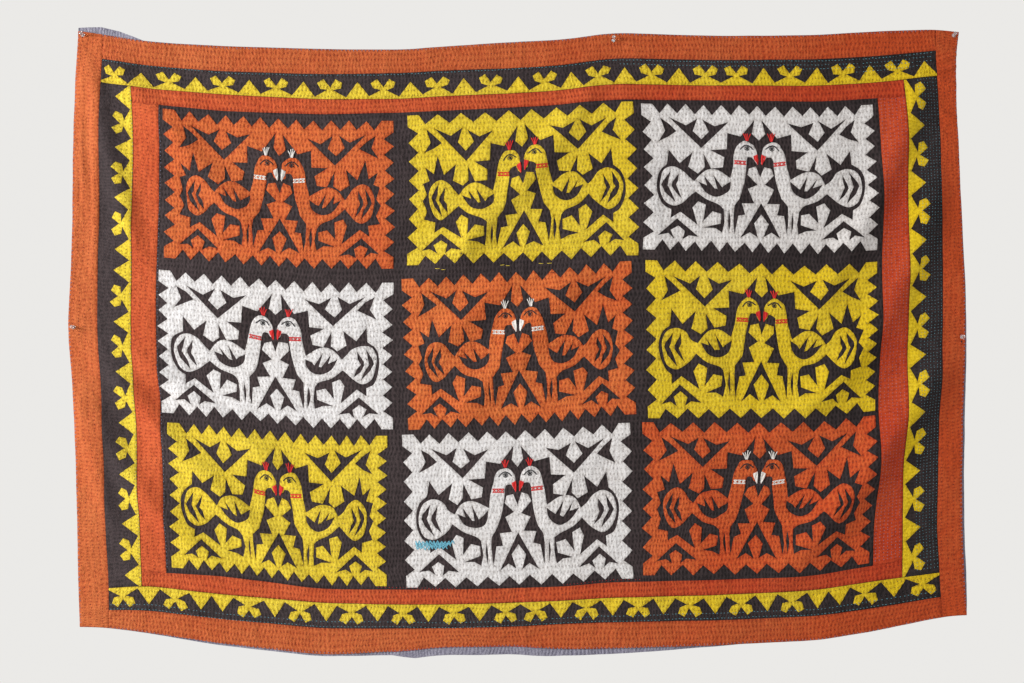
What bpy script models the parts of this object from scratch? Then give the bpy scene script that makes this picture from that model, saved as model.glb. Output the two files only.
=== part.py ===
"""Ralli quilt hung flat on a wall by five clear push pins.

A ralli is a patchwork cover from Sindh: a black ground with nine cut-work panels, framed by a plain
red strip, a black strip with yellow toothed applique and a wide orange strip, all laid on one backing
cloth. Every cloth is drawn flat, in millimetres across and down from the cover's top left corner. It is
then laid on the hung cover, whose seams wander and whose face swags in folds between the pins.

World frame: metres, +X to the right as seen from the front, +Z up, the front faces -Y. The wall is the
plane y = 0, and the origin is on it, behind the middle of the cover's top edge.
"""

import random
from bisect import bisect_right
from math import hypot, pi, radians, sin

import bmesh
import bpy
import numpy as np
from mathutils import Euler, Vector

MM = 0.001

# ---------------------------------------------------------------- the flat cover, in millimetres
WIDTH, HEIGHT = 2102, 1430
ORANGE_SIDE, ORANGE_END = 62, 56  # the outer strips at the left and at the top
DARK_SIDE, DARK_END = 80, 62
RED_SIDE, RED_END = 60, 35
ORANGE_RIGHT, ORANGE_BOTTOM, DARK_BOTTOM = 54, 59, 58

# Where the seams run: left edge, orange to dark, dark to red, red to ground, and the same back again.
SEAMS_ACROSS = [
    0,
    ORANGE_SIDE,
    ORANGE_SIDE + DARK_SIDE,
    ORANGE_SIDE + DARK_SIDE + RED_SIDE,
    WIDTH - ORANGE_RIGHT - DARK_SIDE - RED_SIDE,
    WIDTH - ORANGE_RIGHT - DARK_SIDE,
    WIDTH - ORANGE_RIGHT,
    WIDTH,
]
SEAMS_DOWN = [
    0,
    ORANGE_END,
    ORANGE_END + DARK_END,
    ORANGE_END + DARK_END + RED_END,
    HEIGHT - ORANGE_BOTTOM - DARK_BOTTOM - RED_END,
    HEIGHT - ORANGE_BOTTOM - DARK_BOTTOM,
    HEIGHT - ORANGE_BOTTOM,
    HEIGHT,
]

# ---------------------------------------------------------------- how it hangs, in millimetres
# Height of each seam that runs across, at places along the wall.
HUNG_SEAMS_DOWN = (
    # x,   top edge, orange/dark, dark/red, red/ground, ground/red, red/dark, dark/orange, bottom edge
    (-1045, 27, -30, -89, -129, -1248, -1293, -1343, -1384),
    (-980, 17, -41, -98, -137, -1250, -1293, -1344, -1384),
    (-880, 0, -56, -111, -147, -1253, -1285, -1344, -1396),
    (-700, -11, -70, -125, -164, -1263, -1306, -1365, -1423),
    (-460, -18, -77, -137, -172, -1294, -1326, -1387, -1449),
    (-270, -19, -74, -136, -168, -1295, -1330, -1387, -1440),
    (-180, -12, -68, -130, -164, -1294, -1329, -1386, -1430),
    (0, 0, -62, -122, -155, -1291, -1325, -1382, -1428),
    (100, 4, -56, -116, -150, -1288, -1321, -1377, -1436),
    (226, 21, -38, -100, -137, -1277, -1313, -1372, -1434),
    (450, 14, -43, -104, -138, -1273, -1308, -1368, -1427),
    (700, 15, -42, -105, -142, -1263, -1297, -1359, -1416),
    (850, 24, -34, -97, -134, -1238, -1275, -1339, -1393),
    (1000, 29, -20, -81, -122, -1213, -1255, -1314, -1362),
    (1050, 21, -18, -77, -120, -1205, -1251, -1309, -1356),
)
# Place across of each seam that runs down, at heights on the wall.
HUNG_SEAMS_ACROSS = (
    # z, left edge, orange/dark, dark/red, red/ground, ground/red, red/dark, dark/orange, right edge
    (28, -1037, -980, -915, -851, 848, 908, 990, 1048),
    (-18, -1040, -980, -913, -849, 849, 909, 990, 1038),
    (-66, -1043, -981, -912, -848, 850, 910, 990, 1037),
    (-130, -1046, -984, -910, -846, 852, 917, 996, 1038),
    (-230, -1050, -988, -907, -845, 860, 924, 1002, 1044),
    (-400, -1051, -987, -909, -847, 867, 924, 1004, 1052),
    (-540, -1055, -992, -911, -853, 862, 926, 1007, 1057),
    (-640, -1061, -993, -913, -854, 863, 924, 1007, 1060),
    (-674, -1063, -994, -913, -854, 862, 924, 1007, 1061),
    (-760, -1056, -986, -908, -850, 857, 922, 1004, 1059),
    (-860, -1047, -981, -900, -842, 853, 922, 998, 1055),
    (-1000, -1044, -975, -898, -838, 857, 912, 995, 1052),
    (-1150, -1040, -973, -891, -833, 843, 911, 993, 1053),
    (-1290, -1037, -965, -886, -827, 842, 911, 1002, 1061),
    (-1380, -1034, -965, -886, -826, 844, 915, 1009, 1066),
)
# Folds that hang between the pins, each a soft ridge on a bowed line drawn on the flat cover.
FOLDS = (
    # from across, down, to across, down, bow downwards, half-width, height off the wall
    (2025, 50, 1729, 671, 30, 44, 13),
    (2048, 290, 1626, 965, 93, 50, 14),
    (2080, 759, 1677, 1279, 21, 58, 20),
    (24, 28, 160, 529, 6, 34, 10),
    (53, 12, 449, 466, 0, 42, 9),
    (24, 708, 553, 1285, 20, 40, 12),
    (68, 692, 640, 1132, 0, 38, 9),
    (17, 803, 377, 1276, 67, 38, 10),
    (7, 828, 86, 1181, 9, 30, 9),
    (1276, 59, 805, 579, 20, 42, 11),
    (1057, 522, 822, 731, 5, 38, 7),
    (1221, 510, 864, 916, 10, 52, 10),
    (1300, 59, 1416, 621, 10, 38, 4),
)
FOLD_SPREAD = 1.25  # these facets are coarse, so each fold is drawn this much wider
WALL_STAND_OFF, BELLY = 2.5, 7.0  # how far the back is off the wall at the pins, and more in the middle

# ---------------------------------------------------------------- cloths, in millimetres
BACKING_THICK, FRONT_THICK, APPLIQUE_THICK = 1.5, 1.5, 1.0
LAYER_GAP = 0.3
SEAM_GAP = 0.3
FRONT_BACK = BACKING_THICK + LAYER_GAP  # back of the front cloths, measured from the backing's back
APPLIQUE_BACK = FRONT_BACK + FRONT_THICK + LAYER_GAP

# How far the backing shows past the front: place along the edge, and reach.
BACKING_REACH_TOP = ((0, 8), (58, 17), (110, 14), (146, 8), (170, 1))
BACKING_REACH_BOTTOM = (
    (150, 2),
    (290, 5),
    (620, 5),
    (745, 10),
    (800, 24),
    (955, 27),
    (1080, 24),
    (1160, 16),
    (1380, 10),
    (1500, 4),
    (1580, 1),
)
BACKING_REACH_RIGHT = ((420, 1), (720, 3), (960, 5), (1320, 5), (1400, 2))

# Teeth of the yellow applique, outwards from its inner edge: T is a triangle, P a two-leaf palmette.
TOOTH_ORDER = {
    "top": "PTPTPTPTPTPTPTPTPTPTPTPPTPTPTPT",
    "bottom": "PTPTTPTPTPTPTPTPPTPTPTPTPTPTTPTP",
    "left": "TPTPTPTTPTPTPTPTPTPT",
    "right": "PTPTPTPTPTPTPTPTP",
}
APPLIQUE_BAND = 6  # solid cloth below the teeth
TRIANGLE = ((-0.5, 0), (0, 35), (0.5, 0))  # across in widths of the motif, height in mm
PALMETTE = (
    (-0.5, 0),
    (-0.11, 20),
    (-0.41, 35),
    (-0.16, 46),
    (0, 29),
    (0.16, 46),
    (0.41, 35),
    (0.11, 20),
    (0.5, 0),
)
MOTIF_WIDTHS = {"T": 0.86, "P": 1.16}  # of the mean pitch

# Panels: corners across and down (top left, top right, bottom right, bottom left), and the number of
# teeth along the top, right, bottom and left.
PANELS = (
    ("panel_1_orange", "orange", (212, 161), (756, 172), (759, 521), (219, 519), (11, 7, 11, 7)),
    ("panel_2_yellow", "yellow", (790, 161), (1326, 158), (1334, 517), (791, 514), (8, 6, 10, 6)),
    ("panel_3_white", "white", (1345, 162), (1895, 168), (1895, 519), (1344, 503), (11, 7, 12, 6)),
    ("panel_4_white", "white", (208, 549), (761, 554), (753, 900), (205, 892), (11, 7, 11, 7)),
    ("panel_5_orange", "orange", (779, 546), (1318, 530), (1332, 887), (790, 902), (11, 7, 12, 7)),
    ("panel_6_yellow", "yellow", (1351, 528), (1896, 547), (1900, 905), (1360, 897), (9, 8, 9, 6)),
    ("panel_7_yellow", "yellow", (218, 915), (739, 915), (733, 1270), (216, 1264), (12, 8, 12, 7)),
    ("panel_8_white", "white", (774, 913), (1316, 907), (1328, 1270), (781, 1273), (10, 6, 9, 6)),
    ("panel_9_orange", "orange", (1345, 906), (1900, 916), (1898, 1270), (1352, 1263), (9, 7, 9, 6)),
)
PAD = 27  # side of the small pad at each corner of a panel
FIRST_NOTCH = 43  # from a corner to the notch beside its pad
NOTCH_DEPTH = 23
HAND_WANDER = 1.6  # how far the scissors stray

# ---------------------------------------------------------------- pins, in millimetres
NEEDLE_RADIUS, NEEDLE_CLEARANCE = 0.55, 0.35
NEEDLE_IN_WALL = 6
GRIP_GAP = 0.3  # between the needle's blunt end and the grip
GRIP_PROFILE = (
    # radius, distance from the flange's face
    (0, 0),
    (5.2, 0),
    (5.2, 1.4),
    (3.0, 2.6),
    (2.7, 7.0),
    (4.2, 9.6),
    (4.4, 11.6),
    (3.6, 12.6),
    (0, 12.6),
)
PINS = (
    # name, across, down, tilt up in degrees, tilt to the right in degrees, cloth to grip's face
    ("top_left", 12, 9, 14, -4, 2.5),
    ("top_middle", 1284, 16, 38, 3, 5.5),
    ("top_right", 2090, 13, 16, 6, 2.5),
    ("left", 9, 702, 6, -5, 2.5),
    ("right", 2094, 752, 5, 5, 2.5),
)

# ---------------------------------------------------------------- finishes
COLOURS = {
    # linear red, green, blue and roughness
    "backing": ((0.29, 0.28, 0.38), 0.95),
    "orange": ((0.56, 0.13, 0.035), 0.9),
    "red": ((0.55, 0.085, 0.025), 0.9),
    "dark": ((0.022, 0.02, 0.025), 0.92),
    "yellow": ((0.72, 0.50, 0.02), 0.9),
    "white": ((0.66, 0.64, 0.62), 0.92),
    "clear": ((0.85, 0.85, 0.83), 0.12),
    "steel": ((0.6, 0.6, 0.6), 0.3),
}

# The cloths bend along these lines, so that every layer has its facets in the same places.
ACROSS_LINES = [-12, 0, 62, 142, 202, 380, 570, 760, 950, 1140, 1330, 1520, 1660, 1790]
ACROSS_LINES += [1908, 1968, 2048, 2102, 2114]
DOWN_LINES = [-24, 0, 56, 118, 153, 320, 490, 660, 830, 990, 1140, 1278, 1313, 1371, 1430, 1460]


# ---------------------------------------------------------------- from the flat cover to the wall
def table_columns(table):
    """A table's stations, lowest first, and its other columns."""
    rows = np.array(sorted(table), dtype=float)
    return rows[:, 0], rows[:, 1:].T


PLACES, SEAM_HEIGHTS = table_columns(HUNG_SEAMS_DOWN)
HEIGHTS, SEAM_PLACES = table_columns(HUNG_SEAMS_ACROSS)


def hung_place(across, down):
    """x and z, in mm, of a point of the flat cover. Past the cover's edge the cloth runs straight on."""
    inner_across = min(max(across, 0), WIDTH)
    inner_down = min(max(down, 0), HEIGHT)
    x, z = across - WIDTH / 2, 0.0
    for _ in range(6):
        z = np.interp(inner_down, SEAMS_DOWN, [np.interp(x, PLACES, seam) for seam in SEAM_HEIGHTS])
        x = np.interp(inner_across, SEAMS_ACROSS, [np.interp(z, HEIGHTS, seam) for seam in SEAM_PLACES])
    return x + across - inner_across, z - down + inner_down


def fold_height(across, down):
    """How far the folds lift one point off the wall, in mm."""
    lift = 0.0
    for from_across, from_down, to_across, to_down, bow, half_width, height in FOLDS:
        run, fall = to_across - from_across, to_down - from_down
        length = hypot(run, fall)
        along = ((across - from_across) * run + (down - from_down) * fall) / length**2
        side = 1 if run > 0 else -1
        off = ((down - from_down) * run - (across - from_across) * fall) * side / length
        off -= bow * 4 * along * (1 - along)
        ends = min(max(along / 0.2, 0), 1) * min(max((1.1 - along) / 0.3, 0), 1)
        lift += height * ends * np.exp(-((off / (half_width * FOLD_SPREAD)) ** 2)) / FOLD_SPREAD
    return lift


def depth(across, down):
    """How far the backing's back is off the wall, in mm."""
    across = min(max(across, 0), WIDTH)
    down = min(max(down, 0), HEIGHT)
    belly = BELLY * sin(pi * across / WIDTH) * sin(pi * min(down / HEIGHT * 0.62, 1))
    return WALL_STAND_OFF + belly + fold_height(across, down)


CORNERS = {}


def facet_corner(i, j):
    """The hung place of one crossing of the facet lines: x, distance off the wall and z."""
    if (i, j) not in CORNERS:
        across, down = ACROSS_LINES[i], DOWN_LINES[j]
        x, z = hung_place(across, down)
        CORNERS[i, j] = Vector((x, depth(across, down), z))
    return CORNERS[i, j]


def facet_cell(across, down):
    """The cell of the facet lines that holds a flat point."""
    i = min(max(bisect_right(ACROSS_LINES, across) - 1, 0), len(ACROSS_LINES) - 2)
    j = min(max(bisect_right(DOWN_LINES, down) - 1, 0), len(DOWN_LINES) - 2)
    return i, j


def on_facets(across, down, proud):
    """The world place of a flat point, proud mm in front of the backing's back."""
    i, j = facet_cell(across, down)
    s = (across - ACROSS_LINES[i]) / (ACROSS_LINES[i + 1] - ACROSS_LINES[i])
    t = (down - DOWN_LINES[j]) / (DOWN_LINES[j + 1] - DOWN_LINES[j])
    start, end = facet_corner(i, j), facet_corner(i + 1, j + 1)
    side = facet_corner(i + 1, j) if s >= t else facet_corner(i, j + 1)
    first, second = (s, t) if s >= t else (t, s)
    place = start + (side - start) * first + (end - side) * second
    return Vector((place.x, -place.y - proud, place.z)) * MM


# ---------------------------------------------------------------- cutting and laying a cloth
def cut(bm, faces, place, direction):
    """Cut these faces along a line of the flat cover."""
    parts = set(faces)
    for face in faces:
        parts.update(face.edges)
        parts.update(face.verts)
    bmesh.ops.bisect_plane(
        bm,
        geom=list(parts),
        dist=0.002,
        plane_co=(*place, 0),
        plane_no=(*direction, 0),
    )


def cut_into_facets(bm):
    for across in ACROSS_LINES[1:-1]:
        cut(bm, bm.faces[:], (across, 0), (1, 0))
    for down in DOWN_LINES[1:-1]:
        cut(bm, bm.faces[:], (0, down), (0, 1))
    cells = {}
    for face in bm.faces:
        middle = face.calc_center_median()
        cells.setdefault(facet_cell(middle.x, middle.y), []).append(face)
    for (i, j), faces in cells.items():
        run = ACROSS_LINES[i + 1] - ACROSS_LINES[i]
        fall = DOWN_LINES[j + 1] - DOWN_LINES[j]
        cut(bm, faces, (ACROSS_LINES[i], DOWN_LINES[j]), (fall, -run))


def lay_cloth(name, outline, back, thick, finish, keep_within=None):
    """A flat outline made into a cloth of even thickness that follows the hung facets."""
    bm = bmesh.new()
    bm.faces.new([bm.verts.new((across, down, 0)) for across, down in outline])
    cut_into_facets(bm)
    for vert in bm.verts:
        across, down = vert.co.x, vert.co.y
        if keep_within:
            left, top, right, bottom = keep_within
            across = min(max(across, left + SEAM_GAP / 2), right - SEAM_GAP / 2)
            down = min(max(down, top + SEAM_GAP / 2), bottom - SEAM_GAP / 2)
        vert.co = on_facets(across, down, back)
    front = bmesh.ops.extrude_face_region(bm, geom=bm.faces[:])["geom"]
    for vert in (part for part in front if isinstance(part, bmesh.types.BMVert)):
        vert.co.y -= thick * MM
    bmesh.ops.recalc_face_normals(bm, faces=bm.faces[:])
    return add_mesh(name, bm, finish)


def add_mesh(name, bm, finish):
    mesh = bpy.data.meshes.new(name)
    bm.to_mesh(mesh)
    bm.free()
    return add_object(name, mesh, finish)


def add_object(name, data, finish):
    thing = bpy.data.objects.new(name, data)
    quilt.objects.link(thing)
    thing.data.materials.append(finishes[finish])
    return thing


def strip(name, left, top, right, bottom, finish):
    """One straight cloth between seams, of the front's thickness."""
    outline = ((left, top), (right, top), (right, bottom), (left, bottom))
    return lay_cloth(name, outline, FRONT_BACK, FRONT_THICK, finish, (left, top, right, bottom))


# ---------------------------------------------------------------- outlines
def wander(points, rng):
    """Points moved a little, as scissors do."""
    stray = HAND_WANDER
    return [(a + rng.uniform(-stray, stray), b + rng.uniform(-stray, stray)) for a, b in points]


def toothed_edge(order, length, rng):
    """Points along a toothed edge: distance along it, and height above the band."""
    pitch = length / sum(MOTIF_WIDTHS[kind] for kind in order)
    at, points = 0.0, [(0.0, 0.0)]
    for kind in order:
        width = pitch * MOTIF_WIDTHS[kind]
        shape = TRIANGLE if kind == "T" else PALMETTE
        motif = [(at + width * (0.5 + across), height) for across, height in shape[1:]]
        points += wander(motif, rng)
        at += width
    return points[:-1] + [(length, 0.0)]


def border_applique(side, rng):
    """The outline of one yellow strip, and the box that it stays in."""
    left, top, right, bottom = SEAMS_ACROSS[1], SEAMS_DOWN[1], SEAMS_ACROSS[-2], SEAMS_DOWN[-2]
    inner_left, inner_top = SEAMS_ACROSS[2], SEAMS_DOWN[2]
    inner_right, inner_bottom = SEAMS_ACROSS[-3], SEAMS_DOWN[-3]
    if side in ("top", "bottom"):
        teeth = toothed_edge(TOOTH_ORDER[side], right - left, rng)
        inner, outwards = (inner_top, -1) if side == "top" else (inner_bottom, 1)
        outline = [(left + at, inner + outwards * (APPLIQUE_BAND + height)) for at, height in teeth]
        outline += [(right, inner), (left, inner)]
        box = (left, top, right, inner) if side == "top" else (left, inner, right, bottom)
    else:
        teeth = toothed_edge(TOOTH_ORDER[side], inner_bottom - inner_top, rng)
        inner, outwards = (inner_left, -1) if side == "left" else (inner_right, 1)
        outline = [(inner + outwards * (APPLIQUE_BAND + height), inner_top + at) for at, height in teeth]
        outline += [(inner, inner_bottom), (inner, inner_top)]
        edges = (left, inner) if side == "left" else (inner, right)
        box = (edges[0], inner_top, edges[1], inner_bottom)
    return outline, box


def panel_side(start, end, teeth, rng):
    """Half a corner pad, the notches and teeth, and half a pad, along one side of a panel."""
    way = (Vector(end) - Vector(start)).normalized()
    inwards = Vector((-way.y, way.x))
    length = (Vector(end) - Vector(start)).length
    pitch = (length - 2 * FIRST_NOTCH) / teeth
    points = [(0, 0), (PAD, 0)]
    inner = []
    for tooth in range(teeth):
        inner.append((FIRST_NOTCH + pitch * tooth, NOTCH_DEPTH))
        inner.append((FIRST_NOTCH + pitch * (tooth + 0.5), 0))
    inner.append((length - FIRST_NOTCH, NOTCH_DEPTH))
    points += wander(inner, rng) + [(length - PAD, 0)]
    return [tuple(Vector(start) + way * along + inwards * deep) for along, deep in points]


def panel_outline(corners, teeth, rng):
    outline = []
    for side in range(4):
        outline += panel_side(corners[side], corners[(side + 1) % 4], teeth[side], rng)
    return outline


def backing_outline():
    """The cover's rectangle, with the reach of the backing past the front."""
    outline = [(0, -BACKING_REACH_TOP[0][1])]
    outline += [(across, -reach) for across, reach in BACKING_REACH_TOP[1:]]
    outline += [(WIDTH, -1)]
    outline += [(WIDTH + reach, down) for down, reach in BACKING_REACH_RIGHT]
    outline += [(WIDTH, HEIGHT + 1)]
    outline += [(across, HEIGHT + reach) for across, reach in reversed(BACKING_REACH_BOTTOM)]
    outline += [(0, HEIGHT + 1)]
    return outline


# ---------------------------------------------------------------- pins
def turned(name, profile, finish, segments):
    """A solid turned about its own Z, from a profile of radius and height in mm, top first."""
    mesh = bpy.data.meshes.new(name)
    points = [(radius * MM, 0, height * MM) for radius, height in profile]
    mesh.from_pydata(points, [(k, k + 1) for k in range(len(points) - 1)], [])
    thing = add_object(name, mesh, finish)
    screw = thing.modifiers.new("turn", "SCREW")
    screw.steps = screw.render_steps = segments
    screw.use_merge_vertices = True
    screw.merge_threshold = 0.00001
    return thing


def pin_direction(tilt_up, tilt_right):
    """A pin's turn: its own +Z points out of the wall, tilted up and to the right."""
    return Euler((radians(90 - tilt_up), 0, radians(tilt_right)), "XYZ")


def push_pin(name, across, down, tilt_up, tilt_right, gap):
    """A clear grip and its needle, and a cutter for the hole that the needle makes in the cloths."""
    turn = pin_direction(tilt_up, tilt_right)
    out = Vector((0, 0, 1))
    out.rotate(turn)
    on_cloth = on_facets(across, down, FRONT_BACK + FRONT_THICK)
    face = on_cloth + out * gap * MM
    wall_to_face = face.y / out.y / MM
    length = wall_to_face + NEEDLE_IN_WALL - GRIP_GAP
    grip = turned("push_pin_%s_grip" % name, GRIP_PROFILE[::-1], "clear", 14)
    grip.location, grip.rotation_euler = face, turn
    needle_profile = (
        (0, -GRIP_GAP),
        (NEEDLE_RADIUS, -GRIP_GAP),
        (NEEDLE_RADIUS, -GRIP_GAP - length + 3),
        (0, -GRIP_GAP - length),
    )
    needle = turned("push_pin_%s_needle" % name, needle_profile, "steel", 8)
    needle.location, needle.rotation_euler = face, turn
    bpy.ops.mesh.primitive_cylinder_add(
        vertices=8,
        radius=(NEEDLE_RADIUS + NEEDLE_CLEARANCE) * MM,
        depth=16 * MM,
        location=on_cloth,
        rotation=turn,
    )
    cutter = bpy.context.object
    cutter.name = "cutter_%s" % name
    cutter.hide_render = True
    cutter.display_type = "WIRE"
    for collection in cutter.users_collection:
        collection.objects.unlink(cutter)
    cutters.objects.link(cutter)
    return cutter


def pierce(cloth, cutter):
    hole = cloth.modifiers.new("needle hole", "BOOLEAN")
    hole.object = cutter
    hole.operation = "DIFFERENCE"


# ---------------------------------------------------------------- the whole cover
def make_finishes():
    made = {}
    for name, (colour, roughness) in COLOURS.items():
        material = bpy.data.materials.new(name)
        material.use_nodes = True
        shader = material.node_tree.nodes["Principled BSDF"]
        shader.inputs["Base Color"].default_value = (*colour, 1)
        shader.inputs["Roughness"].default_value = roughness
        shader.inputs["Metallic"].default_value = 1.0 if name == "steel" else 0.0
        made[name] = material
    return made


def make_backing():
    return lay_cloth("backing", backing_outline(), 0, BACKING_THICK, "backing")


def make_strips():
    """The front's plain strips, from the outside in. Returns the orange ones by side."""
    a, d = SEAMS_ACROSS, SEAMS_DOWN
    orange = {
        "left": strip("orange_strip_left", a[0], d[0], a[1], d[7], "orange"),
        "right": strip("orange_strip_right", a[6], d[0], a[7], d[7], "orange"),
        "top": strip("orange_strip_top", a[1], d[0], a[6], d[1], "orange"),
        "bottom": strip("orange_strip_bottom", a[1], d[6], a[6], d[7], "orange"),
    }
    strip("dark_strip_top", a[1], d[1], a[6], d[2], "dark")
    strip("dark_strip_bottom", a[1], d[5], a[6], d[6], "dark")
    strip("dark_strip_left", a[1], d[2], a[2], d[5], "dark")
    strip("dark_strip_right", a[5], d[2], a[6], d[5], "dark")
    strip("red_strip_top", a[2], d[2], a[5], d[3], "red")
    strip("red_strip_bottom", a[2], d[4], a[5], d[5], "red")
    strip("red_strip_left", a[2], d[3], a[3], d[4], "red")
    strip("red_strip_right", a[4], d[3], a[5], d[4], "red")
    strip("ground", a[3], d[3], a[4], d[4], "dark")
    return orange


def make_applique():
    rng = random.Random(7)
    for side in ("top", "bottom", "left", "right"):
        outline, box = border_applique(side, rng)
        lay_cloth("applique_strip_" + side, outline, APPLIQUE_BACK, APPLIQUE_THICK, "yellow", box)
    for name, colour, *corners, teeth in PANELS:
        outline = panel_outline(corners, teeth, rng)
        lay_cloth(name, outline, APPLIQUE_BACK, APPLIQUE_THICK, colour)


def make_pins(backing, orange):
    pinned = {"top_left": "left", "top_middle": "top", "top_right": "right"}
    for pin in PINS:
        cutter = push_pin(*pin)
        pierce(backing, cutter)
        pierce(orange[pinned.get(pin[0], pin[0])], cutter)


for old in list(bpy.data.objects):
    bpy.data.objects.remove(old, do_unlink=True)
quilt = bpy.data.collections.new("ralli_quilt")
cutters = bpy.data.collections.new("cutters")
bpy.context.scene.collection.children.link(quilt)
bpy.context.scene.collection.children.link(cutters)
finishes = make_finishes()
backing_cloth = make_backing()
orange_strips = make_strips()
make_applique()
make_pins(backing_cloth, orange_strips)
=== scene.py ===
# %% [markdown]
# # A ralli quilt on five push pins
#
# A ralli is a patchwork cover from Sindh. This one has a black ground with nine cut-work panels, a plain
# red strip, a black strip with yellow toothed applique and a wide orange strip, all laid on a grey-lavender
# backing and quilted through with long running stitches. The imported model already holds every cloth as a
# plain solid. Here each cloth is made again as a fine sheet that puckers along its stitches, and the birds,
# the embroidery, the thread and the pins' finish are added.
#
# The frame comes first. Its box is kept, to see at the end how far the finer folds reach past it.

import random
from math import ceil, cos, exp, hypot, pi, radians, sin

import bpy
import numpy as np
from mathutils import Euler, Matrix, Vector
from mathutils.geometry import delaunay_2d_cdt
from mathutils.kdtree import KDTree


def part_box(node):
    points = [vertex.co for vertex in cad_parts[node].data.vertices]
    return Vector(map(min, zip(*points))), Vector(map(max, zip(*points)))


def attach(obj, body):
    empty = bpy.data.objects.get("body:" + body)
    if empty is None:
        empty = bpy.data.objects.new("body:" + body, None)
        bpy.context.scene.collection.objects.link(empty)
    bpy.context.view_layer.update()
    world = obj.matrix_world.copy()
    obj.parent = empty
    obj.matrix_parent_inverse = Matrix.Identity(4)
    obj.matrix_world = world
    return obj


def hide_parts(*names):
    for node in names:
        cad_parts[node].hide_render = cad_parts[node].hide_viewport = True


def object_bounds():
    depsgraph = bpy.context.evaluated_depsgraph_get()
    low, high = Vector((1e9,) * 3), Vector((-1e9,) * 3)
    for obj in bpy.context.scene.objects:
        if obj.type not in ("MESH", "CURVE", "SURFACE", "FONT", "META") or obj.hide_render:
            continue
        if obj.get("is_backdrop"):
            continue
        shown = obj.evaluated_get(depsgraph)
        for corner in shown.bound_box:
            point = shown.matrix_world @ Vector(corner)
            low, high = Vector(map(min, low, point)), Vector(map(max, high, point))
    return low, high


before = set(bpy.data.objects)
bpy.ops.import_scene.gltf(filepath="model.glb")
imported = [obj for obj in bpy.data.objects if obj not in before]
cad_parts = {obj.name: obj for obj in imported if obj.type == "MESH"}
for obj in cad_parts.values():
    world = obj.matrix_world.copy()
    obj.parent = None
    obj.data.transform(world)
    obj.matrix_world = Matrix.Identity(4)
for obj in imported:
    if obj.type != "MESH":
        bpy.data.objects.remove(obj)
cad_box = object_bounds()

# %% [markdown]
# ## Where the camera and the lights stand
#
# A wall cover is looked at straight on. The camera stands 3.4 m in front of it, level with its middle. The
# room's light comes from a wide window on the left, so a large area light stands there, and the pale world
# fills the shadows. Folds only show under light that grazes them, and that is why the window is well to
# the side. Two weaker lights fill in: one for the room in front, and one behind, because the wall is left
# out and the back would be dark. The backdrop is shown paler than the light it gives, or it would fill
# every fold with light.

# %% Camera
STAND_BACK, MIDDLE_ACROSS, MIDDLE_HEIGHT = 3.37, -0.012, -0.709
camera_data = bpy.data.cameras.new("camera")
camera_data.lens, camera_data.sensor_width = 50, 36
camera = bpy.data.objects.new("camera", camera_data)
bpy.context.scene.collection.objects.link(camera)
camera.location = (MIDDLE_ACROSS, -STAND_BACK, MIDDLE_HEIGHT)
camera.rotation_euler = (radians(90), 0, 0)
bpy.context.scene.camera = camera
bpy.context.scene.view_settings.view_transform = "Standard"
print("camera", tuple(round(c, 3) for c in camera.location))

# %% Lights
def area_light(name, place, target, size, watts, colour=(1, 1, 1)):
    """A square soft light at a place, turned to a target."""
    data = bpy.data.lights.new(name, "AREA")
    data.shape, data.size, data.energy, data.color = "SQUARE", size, watts, colour
    light = bpy.data.objects.new(name, data)
    light.location = place
    light.rotation_euler = (Vector(target) - Vector(place)).to_track_quat("-Z", "Y").to_euler()
    bpy.context.scene.collection.objects.link(light)


area_light("window", (-5.2, -2.15, 0.3), (0.1, 0, -0.7), 1.9, 366, (1.0, 0.99, 0.978))
area_light("room", (0.9, -4.6, 1.5), (0.2, 0, -0.7), 3.0, 55, (1.0, 0.955, 0.9))
area_light("behind", (1.5, 3.5, 1.0), (0, 0, -0.7), 2.5, 70)

# %% Pale backdrop
BACKDROP, AIR = (0.83, 0.82, 0.8, 1), (0.36, 0.36, 0.37, 1)
world = bpy.data.worlds.new("pale room")
world.use_nodes = True
wires = world.node_tree
ray = wires.nodes.new("ShaderNodeLightPath")
either = wires.nodes.new("ShaderNodeMix")
either.data_type = "RGBA"
either.inputs[6].default_value, either.inputs[7].default_value = AIR, BACKDROP
wires.links.new(ray.outputs["Is Camera Ray"], either.inputs["Factor"])
wires.links.new(either.outputs[2], wires.nodes["Background"].inputs["Color"])
bpy.context.scene.world = world
print("backdrop", BACKDROP[:3], "and the light it gives", AIR[:3])

# %% [markdown]
# ## Shader maths as plain expressions
#
# A cloth's colour is never even: it fades and it mottles, and painted shade lies in the dents where the
# stitches pull it in. Each of these is a small sum of masks, which is hard to read as a net of nodes. So one
# class wraps a socket, and adding or multiplying two of them adds the Math node.

# %% Wires and finishes
class Wire:
    """A number that varies over a surface, as the output socket of a node."""

    def __init__(self, finish, socket):
        self.finish, self.socket = finish, socket

    def maths(self, operation, *values):
        return self.finish.node("Math", {"operation": operation}, dict(enumerate(values)))

    def __add__(self, other):
        return self.maths("ADD", self, other)

    def __sub__(self, other):
        return self.maths("SUBTRACT", self, other)

    def __rsub__(self, other):
        return self.maths("SUBTRACT", other, self)

    def __mul__(self, other):
        return self.maths("MULTIPLY", self, other)

    __radd__, __rmul__ = __add__, __mul__

    def sine(self):
        return self.maths("SINE", self)

    def limited(self):
        return self.maths("MINIMUM", self.maths("MAXIMUM", self, 0.0), 1.0)


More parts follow.
